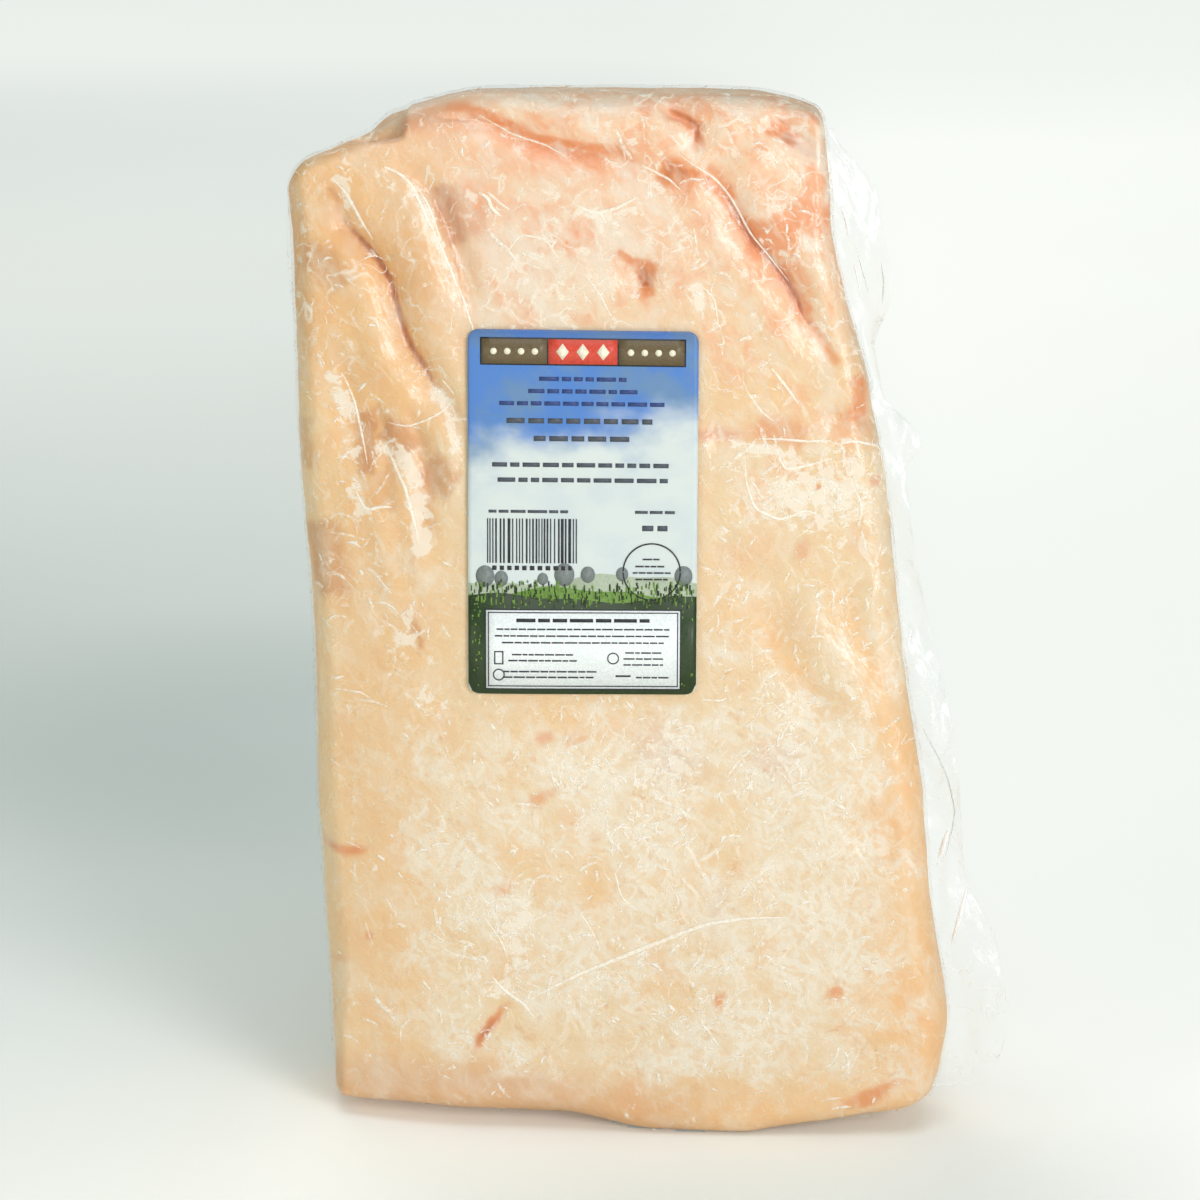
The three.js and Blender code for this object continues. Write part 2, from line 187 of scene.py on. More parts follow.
class FilmSettings(bpy.types.PropertyGroup):
    wrinkle: length_setting("Wrinkle height", "Height of the film's small wrinkles", 0.4)
    crinkles: bpy.props.IntProperty(name="Crinkles", description="Number of sharp little creases", default=1600, min=0)
    gloss: bpy.props.FloatProperty(name="Roughness", description="Roughness of the film", default=0.2, min=0, max=1)
    seed: bpy.props.IntProperty(name="Seed", description="Start of the random draws", default=11)


class LabelSettings(bpy.types.PropertyGroup):
    sky: colour_setting("Upper field", "Blue at the top of the label", tone(86, 134, 204))
    paper: colour_setting("Middle field", "Pale middle of the label", tone(219, 227, 222))
    field: colour_setting("Lower field", "Dark green at the foot of the label", tone(40, 60, 22))
    ink: colour_setting("Ink", "Dark printing ink", tone(34, 36, 42))


class StudioSettings(bpy.types.PropertyGroup):
    distance: length_setting("Camera distance", "From the aim point to the camera", 1100)
    azimuth: bpy.props.FloatProperty(
        name="Camera azimuth", description="Turn to the right of the skin side", default=math.radians(2.5),
        subtype="ANGLE", unit="ROTATION")
    elevation: bpy.props.FloatProperty(
        name="Camera elevation", description="Height above the horizontal", default=math.radians(15),
        subtype="ANGLE", unit="ROTATION")
    lens: bpy.props.FloatProperty(name="Lens", description="Focal length", default=118.965, min=1)


SETTINGS = {
    "belly_slab": SlabSettings,
    "belly_film": FilmSettings,
    "belly_label": LabelSettings,
    "belly_studio": StudioSettings,
}

# ---------------------------------------------------------------- small helpers


def smooth(start, end, value):
    t = np.clip((value - start) / (end - start), 0.0, 1.0)
    return t * t * (3 - 2 * t)


def bell(value):
    return np.exp(-value * value)


def lerp(a, b, t):
    return a + (b - a) * t


def scrambled(ix, iy, iz, seed):
    """A number from -1 to 1 that is always the same for a lattice corner."""
    mask = np.uint64(0xFFFFFFFF)
    h = (ix * 73856093 ^ iy * 19349663 ^ iz * 83492791 ^ seed * 2654435761).astype(np.int64).view(np.uint64) & mask
    h = (h ^ (h >> np.uint64(15))) * np.uint64(2246822519) & mask
    h = (h ^ (h >> np.uint64(13))) * np.uint64(3266489917) & mask
    h = h ^ (h >> np.uint64(16))
    return h.astype(float) / 2147483648.0 - 1


def soft_noise(points, size, seed):
    """Smooth noise from -1 to 1 with lumps of the given size."""
    p = points / size
    corner = np.floor(p).astype(np.int64)
    t = p - corner
    t = t * t * t * (t * (t * 6 - 15) + 10)
    total = 0.0
    for dx in (0, 1):
        wx = t[:, 0] if dx else 1 - t[:, 0]
        for dy in (0, 1):
            wy = t[:, 1] if dy else 1 - t[:, 1]
            for dz in (0, 1):
                wz = t[:, 2] if dz else 1 - t[:, 2]
                value = scrambled(corner[:, 0] + dx, corner[:, 1] + dy, corner[:, 2] + dz, seed)
                total = total + wx * wy * wz * value
    return total


def layered_noise(points, size, seed, layers=3):
    total, weight, span = 0.0, 0.0, 1.0
    for layer in range(layers):
        total = total + span * soft_noise(points + 17.3 * layer, size, seed + layer)
        weight += span
        span *= 0.5
        size *= 0.5
    return total / weight


# ---------------------------------------------------------------- outline of the slab


def left_side(z):
    return LEFT["at_foot"] + LEFT["lean"] * z + 0.6 * np.sin(z / 19)


def right_side(z):
    shoulder = SHOULDER["inset"] * smooth(SHOULDER["start"], SHOULDER["end"], z)
    shoulder = shoulder - SHOULDER["flare"] * smooth(SHOULDER["end"], HEIGHT, z)
    foot_corner = 9 * np.clip((30 - z) / 30, 0, 1) ** 1.5
    return RIGHT["at_foot"] + RIGHT["lean"] * z - shoulder - foot_corner + 0.7 * np.sin(z / 13)


def top_end(x, inward):
    left_drop = 17 * np.clip((-48 - x) / 48, 0, 1.2) ** 1.4 + 10 * inward * smooth(-72, -88, x)
    right_drop = 6 * np.clip((x - 24) / 24, 0, 1.5) ** 2
    return HEIGHT - left_drop - right_drop


def foot_end(x):
    return 0.14 * np.maximum(0, x - 28) + 2 * smooth(-50, -90, x) - FOOT_SINK


def bend_back(x, z):
    turn = np.clip((BEND["start"] - x) / (BEND["start"] - BEND["end"]), 0, 1.2)
    return lerp(BEND["at_foot"], BEND["at_top"], np.clip(z / HEIGHT, 0, 1)) * turn * turn


def skin_face(x, z):
    return SKIN["at_foot"] + SKIN["lean"] * z + bend_back(x, z)


def meat_face(x, z):
    return MEAT["at_foot"] + MEAT["lean"] * z + bend_back(x, z)


# ---------------------------------------------------------------- folds


def nearest(run, x, z):
    """Distance from each point to a run of points, how far along it is, and its side (1 is right)."""
    total = 0.0
    best = np.full(np.shape(x), np.inf)
    at = np.zeros(np.shape(x))
    side = np.ones(np.shape(x))
    for (x0, z0), (x1, z1) in zip(run, run[1:]):
        dx, dz = x1 - x0, z1 - z0
        length = math.hypot(dx, dz)
        t = np.clip(((x - x0) * dx + (z - z0) * dz) / length ** 2, 0, 1)
        distance = np.hypot(x - x0 - t * dx, z - z0 - t * dz)
        closer = distance < best
        best = np.where(closer, distance, best)
        at = np.where(closer, total + t * length, at)
        side = np.where(closer, np.sign(dx * (z - z0) - dz * (x - x0)), side)
        total += length
    return best, at / total, side


def taper(along):
    return smooth(0, 0.15, along) * smooth(1, 0.8, along)


def long_taper(along):
    return smooth(-0.05, 0.3, along) * smooth(1.05, 0.6, along)


def crease_height(fold, x, z, cleft):
    """A soft valley between two swellings, with a narrow cleft cut into its bottom."""
    distance, along, side = nearest(fold["run"], x, z)
    width = fold["width"]
    rounding = 0.3 * width
    valley = np.exp(-(np.hypot(distance, rounding) - rounding) / (1.15 * width))
    bank = 0.35 * bell((distance - 2.3 * width) / (1.5 * width))
    slot = cleft * bell(distance / CLEFT["half"])
    fall = smooth(-1.5, 2.5, side * distance) * np.exp(-np.maximum(side * distance, 0) / DROP_FADE)
    drop = fold.get("drop", 0) * fall
    return (fold["depth"] * (bank - 0.82 * valley) - CLEFT["depth"] * slot - drop) * long_taper(along)


def ridge_height(fold, x, z):
    distance, along, _ = nearest(fold["run"], x, z)
    return fold["height"] * bell(distance / fold["width"]) * taper(along)


def under_label(x, z):
    """1 on the label, falling to 0 a little way outside it."""
    across = np.abs(x - LABEL["x"]) - LABEL["width"] / 2
    up = np.abs(z - LABEL["z"]) - LABEL["height"] / 2
    return 1 - smooth(0, LABEL_REST, np.maximum(across, up))


def broad_swell(x, z):
    return 0.8 * np.sin(x / 23 + 0.6) * np.sin(z / 37 + 1.1)


def step_back(x, z, depth):
    stepped = smooth(STEP["x"] + 2, STEP["x"] - 3, x) * smooth(STEP["z"] - 2, STEP["z"] + 3, z)
    return -depth * stepped


def skin_relief(x, z, step, cleft):
    """How far the skin side stands out from its plain form."""
    folds = -PIT["depth"] * bell(np.hypot((x - PIT["x"]) / PIT["across"], (z - PIT["z"]) / PIT["up"]))
    for fold in CREASES:
        folds = folds + crease_height(fold, x, z, cleft * fold.get("cleft", 1))
    for fold in RIDGES:
        folds = folds + ridge_height(fold, x, z)
    folds = folds + step_back(x, z, step)
    return broad_swell(x, z) + folds * (1 - under_label(x, z))


def meat_relief(x, z):
    return 1.1 * np.sin(x / 17 + z / 60) * np.sin(z / 29 + 0.4) - 0.6


# ---------------------------------------------------------------- the surface of the pack


def crowd(t, strength):
    return lerp(t, np.sin(t * math.pi / 2), strength)


def grade_up(c):
    row = (c + 1) / 2
    share, height = ROWS_BELOW["share"], ROWS_BELOW["height"]
    lower = row / share * height
    upper = height + (row - share) / (1 - share) * (1 - height)
    return 2 * np.where(row < share, lower, upper) - 1


def edge_radius(a, b, c):
    above_foot = smooth(0, FOOT_ROUND["reach"], (c + 1) / 2 * HEIGHT)
    under = smooth(TURNED_UNDER["start"] / HALF[0], TURNED_UNDER["end"] / HALF[0], a)
    foot_skin = lerp(FOOT_ROUND["skin"], TURNED_UNDER["skin"], under)
    foot_up = lerp(FOOT_ROUND["up"], TURNED_UNDER["up"], under * smooth(0.3, -0.6, b))
    skin = lerp(foot_skin, ROUND["skin"], above_foot)
    meat = lerp(FOOT_ROUND["meat"], ROUND["meat"], above_foot)
    upper_right = smooth(0.6, 1, a) * smooth(0.6, 1, c)
    lower_left = smooth(-0.6, -1, a) * smooth(-0.6, -1, c)
    sharp = 1 - 0.55 * upper_right - 0.5 * lower_left
    return np.stack([
        ROUND["across"] * sharp,
        np.where(b < 0, skin, meat),
        np.where(c < 0, foot_up, ROUND["top"]) * sharp,
    ], 1)


def rounded_block(a, b, c):
    radius = edge_radius(a, b, c)
    at = np.stack([a, b, c], 1) * HALF
    side = np.sign(at)
    inner = (HALF - radius) * side
    inner = np.where(at * side < inner * side, at, inner)
    outward = (at - inner) / radius
    outward /= np.linalg.norm(outward, axis=1, keepdims=True)
    return inner + outward * radius, outward


def on_skin_side(outward):
    """1 where a surface looks to the skin side, falling to 0 where it turns to the edges."""
    return smooth(0.2, -0.5, outward[:, 1])


def pack_surface(cube, relief_of_skin):
    """Points of the pack and their outward directions, for points of the unit cube."""
    a, b, c = cube.T
    point, outward = rounded_block(crowd(a, 0.4), crowd(b, 1), crowd(grade_up(c), 0.4))
    share = (point / HALF + 1) / 2
    level = share[:, 2] * HEIGHT
    x = lerp(left_side(level), right_side(level), share[:, 0])
    z = lerp(foot_end(x), top_end(x, share[:, 1]), share[:, 2])
    y = lerp(skin_face(x, z), meat_face(x, z), share[:, 1])
    skin_share = on_skin_side(outward)
    meat_share = smooth(-0.2, 0.5, outward[:, 1])
    relief = skin_share * relief_of_skin(x, z) + meat_share * meat_relief(x, z)
    return np.stack([x, y, z], 1) + outward * relief[:, None], outward


def block_lattice(across, deep, up):
    """Corners of a box's surface as points of the unit cube, and its faces, with shared corners.

    The meat side keeps every second row and column.
    """
    step_x, step_y, step_z = np.eye(3, dtype=np.int64)
    sheets = (
        ((0, 0, 0), step_x, across, step_z, up),
        ((0, deep, 0), step_z, up, step_x, across),
        ((0, 0, 0), step_z, up, step_y, deep),
        ((across, 0, 0), step_y, deep, step_z, up),
        ((0, 0, 0), step_y, deep, step_x, across),
        ((0, 0, up), step_x, across, step_y, deep),
    )
    faces = []
    for origin, first, first_count, second, second_count in sheets:
        p, q = np.meshgrid(np.arange(first_count), np.arange(second_count), indexing="ij")
        p, q = p.ravel()[:, None], q.ravel()[:, None]
        start = np.array(origin) + p * first + q * second
        faces.append(np.stack([start, start + first, start + first + second, start + second], 1))
    corners = np.concatenate(faces)
    on_meat_side = corners[..., 1] == deep
    for axis in (0, 2):
        corners[..., axis] = np.where(on_meat_side, corners[..., axis] // 2 * 2, corners[..., axis])
    key = (corners[..., 0] * (deep + 1) + corners[..., 1]) * (up + 1) + corners[..., 2]
    unique, index = np.unique(key.ravel(), return_inverse=True)
    k = unique % (up + 1)
    j = unique // (up + 1) % (deep + 1)
    i = unique // (up + 1) // (deep + 1)
    cube = np.stack([2 * i / across - 1, 2 * j / deep - 1, 2 * k / up - 1], 1)
    return cube, whole_faces(index.reshape(-1, 4))


def whole_faces(quads):
    """Quads as lists of corners, with repeated corners and faces shrunk to a line left out."""
    whole = np.ones(len(quads), bool)
    for first in range(4):
        for second in range(first + 1, 4):
            whole &= quads[:, first] != quads[:, second]
    faces = quads[whole].tolist()
    for quad in quads[~whole].tolist():
        corners = [v for n, v in enumerate(quad) if v != quad[n - 1]]
        if len(set(corners)) == len(corners) >= 3:
            faces.append(corners)
    return faces


# ---------------------------------------------------------------- meshes in Blender


def in_scene(name, data):
    thing = bpy.data.objects.new(name, data)
    bpy.context.scene.collection.objects.link(thing)
    return thing


def add_piece(name, points, faces, material, replaced):
    """A smooth mesh piece from millimetre points, riding on the part and standing for a node."""
    mesh = bpy.data.meshes.new(name)
    mesh.from_pydata((np.asarray(points) * MM).tolist(), [], faces)
    mesh.polygons.foreach_set("use_smooth", np.ones(len(mesh.polygons), bool))
    mesh.materials.append(material)
    mesh.validate()
    mesh.update()
    piece = in_scene(name, mesh)
    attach(piece, "root")
    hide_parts(replaced)
    return piece


def clear_to_light(piece):
    """Thin clear film dims nothing behind it."""
    piece.visible_shadow = False
    piece.visible_diffuse = False


def paint(piece, name, values):
    """Stores one number or one colour for each corner point of a piece."""
    values = np.asarray(values, np.float32)
    if values.ndim == 1:
        layer = piece.data.attributes.new(name, "FLOAT", "POINT")
        layer.data.foreach_set("value", values)
    else:
        layer = piece.data.attributes.new(name, "FLOAT_COLOR", "POINT")
        with_alpha = np.concatenate([values, np.ones((len(values), 1), np.float32)], 1)
        layer.data.foreach_set("color", with_alpha.ravel())


# ---------------------------------------------------------------- colours of the slab

# Soft patches: centre (x, z), half sizes across and up, turn in degrees, strength, colour setting. The tan patches on
# the upper left rolls and in the recess are partly painted shade.
PATCHES = (
    ((-64.5, 249), (5, 19), 22, 0.5, "tan"),
    ((-89, 249), (5, 3.5), 0, 0.6, "tan"),
    ((-94, 236), (5, 22), 0, 0.3, "tan"),
    ((-80, 286), (12, 5), 14, 0.7, "raw"),
    ((-84, 283), (7, 3.5), 30, 0.5, "tan"),
    ((-64, 285.5), (10, 4), -14, 0.6, "raw"),
    ((-72, 284), (6, 3), 0, 0.5, "tan"),
    ((-12, 292), (50, 2.5), 0, 0.5, "pale"),
    ((-42, 253), (5, 3), -45, 0.4, "mauve"),
    ((-47, 269), (5, 2.4), -20, 0.5, "raw"),
    ((-2, 256), (14, 4), -15, 0.25, "raw"),
    ((-14, 271), (22, 3), -12, 0.3, "raw"),
    ((-38, 275), (12, 3), -15, 0.3, "raw"),
    ((38, 284), (8, 3), -30, 0.4, "raw"),
    ((32, 252), (4.5, 8), 28, 0.5, "raw"),
    ((57, 214), (5, 7), 20, 0.55, "warm"),
    ((57, 207), (4, 2.4), 0, 0.4, "fold"),
    ((52, 203), (16, 2.6), -3, 0.35, "raw"),
    ((20, 206), (5, 14), 0, 0.25, "warm"),
    ((30, 185), (3.5, 6), 10, 0.4, "raw"),
    ((43, 170), (3.4, 2.6), 30, 0.55, "fold"),
    ((26, 168), (9, 4), 10, 0.25, "raw"),
    ((-18, 254), (20, 13), -10, 0.6, "pale"),
    ((-34, 242), (14, 16), 0, 0.65, "pale"),
    ((40, 258), (10, 7), 20, 0.5, "raw"),
    ((35, 212), (12, 8), 0, 0.45, "warm"),
    ((-20, 121), (16, 6), 0, 0.5, "warm"),
    ((-86, 80), (7, 1.7), 2, 0.85, "fold"),
    ((-80, 56), (2.2, 1.4), 40, 0.6, "fold"),
    ((-87, 47), (3, 1), 30, 0.3, "fold"),
    ((-43.8, 31), (1.6, 8.4), -40, 0.95, "fold"),
    ((-45.5, 29), (0.9, 4.4), -40, 0.5, "line"),
    ((-28, 116), (2.4, 1.7), 20, 0.7, "fold"),
    ((-20, 115), (3.4, 2.4), 40, 0.4, "fold"),
    ((-30, 98), (4.5, 1.8), 25, 0.5, "fold"),
    ((-40, 72), (5, 2.4), 20, 0.4, "fold"),
    ((6, 111), (9, 7.5), -40, 0.8, "mauve"),
    ((36, 109), (8, 6), 10, 0.7, "mauve"),
    ((53.5, 43.4), (2.6, 1.9), 25, 0.75, "fold"),
    ((21, 41), (1.3, 3.2), -30, 0.7, "fold"),
    ((20, 66), (2.4, 8), 0, 0.5, "mauve"),
    ((64, 13.5), (9, 2.4), 25, 0.75, "fold"),
    ((70, 42), (13, 6), 15, 0.6, "warm"),
    ((74, 120), (8, 26), -8, 0.4, "warm"),
    ((60, 140), (4, 22), 28, 0.6, "warm"),
    ((38, 143), (4, 20), 30, 0.55, "warm"),
    ((26, 152), (12, 10), 0, 0.4, "warm"),
    ((-14, 72), (7, 12), 10, 0.5, "warm"),
    ((-36, 82), (8, 5), -30, 0.4, "warm"),
    ((12, 78), (9, 5), 20, 0.35, "warm"),
    ((-40, 14), (30, 5), -4, 0.35, "mauve"),
    ((-75, 12), (14, 7), 0, 0.25, "mauve"),
)

# Bands of colour along a run of points (x, z): half width where full, half width where gone, strength, colour. The
# fold, line, tan and brown bands along the creases, in the pit and between the small rolls are partly their own colour
# and partly painted shade.
BANDS = (
    (((-60, 288), (-52, 287.5), (-45, 285.5), (-38, 282.5), (-30, 279.5), (-20, 277.5), (-10, 275.5), (0, 272.5)),
     1.2, 5, 0.5, "raw"),
    (((-62, 290.3), (-53, 289.8), (-46, 288.4), (-39, 285.4), (-32, 282.6), (-25, 281), (-17, 280), (-9, 278.2),
      (-2, 276)), 0.7, 2.2, 0.85, "fold"),
    (((-34, 281.6), (-27, 278.8), (-20, 277.6), (-13, 276.4)), 0.4, 1.8, 0.6, "fold"),
    (((2, 274.4), (7.5, 272.8), (12, 270.5)), 2.6, 5.4, 0.95, "fold"),
    (((4, 273.8), (10, 272)), 1.2, 3.2, 0.5, "line"),
    (((6, 269), (13, 268.5)), 2, 5, 0.55, "raw"),
    (((4, 291), (8.5, 288.6), (12.5, 285.5), (13, 281.5), (12.6, 278)), 0.7, 2.4, 0.9, "fold"),
    (((11, 286.6), (13, 283.6), (13.1, 280.5)), 0.4, 1.5, 0.75, "line"),
    (((3, 282), (6, 279)), 1.5, 4, 0.55, "raw"),
    (((13.5, 274.6), (17.5, 271), (21, 267.4), (24, 262.6), (26.6, 258.6), (29.5, 254.2), (32.5, 250)),
     1.0, 3.6, 0.9, "fold"),
    (((14.5, 273.6), (20, 268), (23.2, 263), (26, 258.6), (29.5, 253)), 0.4, 1.5, 0.75, "line"),
    (((29, 256), (34, 258.3), (41, 257.6)), 1.8, 5, 0.7, "fold"),
    (((34.5, 248.6), (38.5, 243.6), (41.5, 238.8), (43.5, 234.6)), 1.1, 3.0, 0.95, "fold"),
    (((36.5, 245.6), (40, 240.6), (42, 236.6)), 0.4, 1.6, 0.75, "line"),
    (((44, 232), (48, 227), (52, 221)), 0.5, 2.2, 0.6, "fold"),
    (((31, 286), (36, 283.6), (40.5, 280.8), (46, 278.3)), 0.9, 2.8, 0.95, "fold"),
    (((35.5, 283.6), (42.5, 279.6), (47, 278)), 0.6, 1.7, 0.9, "line"),
    (((38, 287.7), (47.5, 287.7)), 0.4, 1.7, 0.6, "raw"),
    (((41.5, 276), (44.5, 271), (46, 263), (47, 255)), 1.8, 4.6, 0.65, "raw"),
    (((-9.5, 252), (-5, 248.9), (-0.5, 247.4), (3, 246.8)), 0.6, 2.2, 0.85, "fold"),
    (((-4, 247.6), (-1.6, 246.6), (1.6, 246.4)), 1.2, 3.0, 0.95, "fold"),
    (((-2.4, 245.6), (-0.9, 243.2), (0.3, 238.4)), 0.9, 2.8, 0.95, "fold"),
    (((-3, 246.8), (-1.6, 245), (0.2, 244.6), (0, 241.4)), 0.8, 2.2, 0.85, "line"),
    (((-58.6, 269.5), (-56.6, 264.5), (-54.4, 258.5), (-52, 252)), 1.2, 4.6, 0.8, "lean"),
    (((-56, 267), (-51, 264.5), (-47.5, 261), (-50, 255)), 2, 6, 0.5, "lean"),
    (((-50.5, 268.5), (-46, 262.5)), 0.8, 2.6, 0.6, "raw"),
    # Painted light: strong raw pink in the recess lifts it out of its shade.
    (((-77, 284), (-72, 286), (-68, 287.5)), 2, 7, 0.9, "raw"),
    (((-88.5, 268.5), (-85, 259.5), (-80.5, 253.6), (-76, 248.8)), 0.3, 1.3, 0.45, "line"),
    (((-89.5, 267), (-86.5, 258), (-82, 251.4), (-77.5, 246.6)), 1, 4.6, 0.35, "tan"),
    (((-96, 250), (-90, 246), (-84, 240)), 2, 7, 0.45, "brown"),
    (((-79, 207), (-78.6, 197), (-79.2, 188)), 1.4, 3.8, 0.8, "brown"),
    (((-74.5, 202), (-69.5, 199.6), (-66, 194.5)), 1.8, 5, 0.7, "brown"),
    (((-62, 192.5), (-57.7, 188.5), (-53, 185.5)), 2.5, 7, 0.6, "brown"),
    (((-73, 190), (-74, 178)), 2, 6, 0.3, "brown"),
    (((-93.5, 174), (-90.5, 163), (-87.5, 152)), 3, 8.5, 0.6, "brown"),
    (((-97.5, 203), (-96, 187)), 1, 4.5, 0.4, "brown"),
    (((-67.6, 152), (-65, 145.4), (-62.4, 139)), 0.4, 1.7, 0.65, "brown"),
    (((58, 218), (58.8, 205)), 1.4, 4.2, 0.8, "fold"),
    (((29, 204.5), (37, 202.5), (44, 200)), 1.8, 5, 0.45, "fold"),
    (((13.5, 201.6), (25.5, 201.4)), 0.6, 2.2, 0.7, "lean"),
    (((60.8, 188.4), (63.8, 188.6)), 0.6, 2.2, 0.8, "fold"),
    (((45.5, 187.2), (48.5, 187.4)), 0.4, 1.7, 0.7, "fold"),
)

# The colour that each crease shows, partly its own and partly painted light (darker in most valleys as painted shade,
# warm in the low right grooves for the warm light in their shade): how strongly along its soft sides, how strongly at
# its bottom.
CREASE_TINTS = {
    "first roll": ("tan", 0.6, 0.95),
    "second roll": ("tan", 0.4, 0.6),
    "upper lip": ("raw", 0.6, 0.5),
    "right fold": ("raw", 0.7, 0.9),
    "branch": ("raw", 0.6, 0.7),
    "corner": ("raw", 0.6, 0.6),
    "corner flank": ("raw", 0.45, 0.1),
    "left flank": ("tan", 0.35, 0.15),
    "left notch": ("brown", 0.5, 0.3),
    "left pocket": ("brown", 0.5, 0.4),
    "right waist": ("raw", 0.35, 0.25),
    "right hip": ("fold", 0.35, 0.3),
    "right low one": ("warm", 0.4, 0),
    "right low two": ("warm", 0.4, 0),
    "right hem": ("warm", 0.3, 0),
}

# Where ice lies under the film, with some patches, such as the one on the left ridge at (-79, 181), painted highlights:
# centre, half sizes, turn, strength.
FROSTED = (
    ((46, 184), (20, 15), 0, 1.0),
    ((24, 190), (12, 30), 0, 0.25),
    ((12, 136), (10, 14), 0, 0.6),
    ((-79, 181), (5, 8), 20, 0.55),
    ((-67, 165), (10, 26), 0, 0.3),
    ((-30, 242), (16, 10), 0, 0.45),
    ((12, 240), (20, 12), 0, 0.4),
    ((-89, 266), (4, 5), 0, 0.4),
    ((-35, 66), (7, 20), -12, 0.4),
)

# Where the film is painted white, partly as crumpled film and partly as painted glare on it: centre, half sizes, turn,
# strength.
CRUMPLE_GLARE_PATCHES = (
    ((-43, 264.5), (4, 2), -40, 0.8),
    ((-12.5, 262.5), (8, 2), -5, 0.6),
    ((-71.5, 270), (5, 2.5), -35, 0.7),
    ((-76, 168), (2.6, 12), 8, 0.5),
    ((-35, 64), (4.5, 12), -12, 0.9),
    ((-44, 47), (9, 4), 30, 0.5),
    ((47, 187), (17, 12), 0, 0.95),
    ((10, 110), (9, 9), -30, 0.6),
    ((56, 131), (3.5, 13), 38, 0.6),
    ((3, 280), (8, 3), -20, 0.5),
)

# Where it is painted white along a run of points (x, z), partly as crumpled film and partly as painted glare: half
# width where full, where gone, strength.
CRUMPLE_GLARE_RUNS = (
    (((-76.5, 198.5), (-70.5, 195.6), (-65, 187.4), (-62.6, 177.7), (-63.5, 165)), 1.5, 4.6, 0.95),
    (((-83.2, 185.5), (-81, 181), (-78.6, 176.6)), 1.4, 3.8, 0.85),
    (((-88, 219), (-87, 213), (-84.5, 206), (-82.4, 198), (-81.5, 192.5)), 1.0, 4, 0.75),
    (((-61, 214), (-55, 208), (-52.3, 200), (-53.6, 192)), 1.0, 3.6, 0.8),
    (((-71.5, 152), (-66.5, 139.6), (-62.2, 128.4), (-56.6, 120)), 2, 8, 0.55),
    (((22, 199), (31, 197.8), (42, 196.4)), 0.6, 2.0, 0.9),
    (((-87.5, 271), (-84.5, 268), (-82, 262)), 0.8, 2.6, 0.85),
    (((-66.5, 268.6), (-62, 264), (-59.8, 258)), 0.8, 2.6, 0.9),
    (((-58.8, 256), (-55.2, 247), (-52, 240)), 0.6, 2.0, 0.8),
    (((-51, 267.8), (-46.5, 265), (-43.2, 260.6)), 0.7, 2.2, 0.95),
    (((-20.5, 264.2), (-16.5, 261.6), (-13.5, 261.2), (-9, 262.6), (-2.5, 263)), 0.6, 1.9, 0.9),
    (((-14.2, 261.6), (-13.2, 256.6)), 0.4, 1.5, 0.9),
    (((-1.5, 272.2), (3.5, 268.4), (6.5, 265)), 0.5, 1.7, 0.85),
    (((12.5, 243.5), (14.5, 235.5)), 1.0, 2.6, 0.85),
    (((-38.5, 251), (-35.5, 245), (-33.5, 239.5)), 0.8, 3.4, 0.6),
    (((-30, 262), (-24, 256), (-18, 252)), 0.6, 3, 0.5),
    (((-45, 41), (-40.5, 44.5), (-36, 54), (-33, 64)), 1.2, 4, 0.8),
    (((-3, 100), (2, 108), (7, 118)), 1.0, 4, 0.6),
)


def patch_share(x, z, centre, half, turn, crisp=False):
    """1 in the middle of a turned oval, falling softly to 0 outside it, or in a narrow rim if crisp."""
    angle = math.radians(turn)
    dx, dz = x - centre[0], z - centre[1]
    along = dx * math.cos(angle) + dz * math.sin(angle)
    across = -dx * math.sin(angle) + dz * math.cos(angle)
    out = np.hypot(along / half[0], across / half[1])
    return bell(out * out if crisp else out)


def band_share(x, z, run, full, gone):
    """1 along a run of points, falling to 0 beside it and a little way inside its ends."""
    distance, along, _ = nearest(run, x, z)
    return smooth(gone, full, distance) * smooth(-0.02, 0.1, along) * smooth(1.02, 0.9, along)


# Share of white on the film, partly crumpled film and partly painted glare.
def crumple_glare_share(x, z):
    share = np.zeros(np.shape(x))
    for centre, half, turn, strength in CRUMPLE_GLARE_PATCHES:
        share = np.maximum(share, strength * patch_share(x, z, centre, half, turn))
    for run, full, gone, strength in CRUMPLE_GLARE_RUNS:
        share = np.maximum(share, strength * band_share(x, z, run, full, gone))
    return share * (1 - under_label(x, z))


def marks_share(x, z):
    """1 on the dark marks, where the film lies close and clear."""
    share = np.zeros(np.shape(x))
    for centre, half, turn, strength, target in PATCHES:
        if target in ("fold", "line"):
            share = np.maximum(share, strength * patch_share(x, z, centre, half, turn, True))
    for run, full, gone, strength, target in BANDS:
        if target in ("fold", "line"):
            share = np.maximum(share, strength * band_share(x, z, run, full, gone))
    return share


def lower_frost(x, z):
    """The broad frosted field of the lower half, with the flanks and the foot left clear."""
    sides = smooth(-90, -50, x) * smooth(84, 68, x)
    return 0.12 + 0.88 * sides * smooth(12, 22, z) * (0.4 * smooth(185, 135, z) + 0.6 * smooth(135, 100, z))


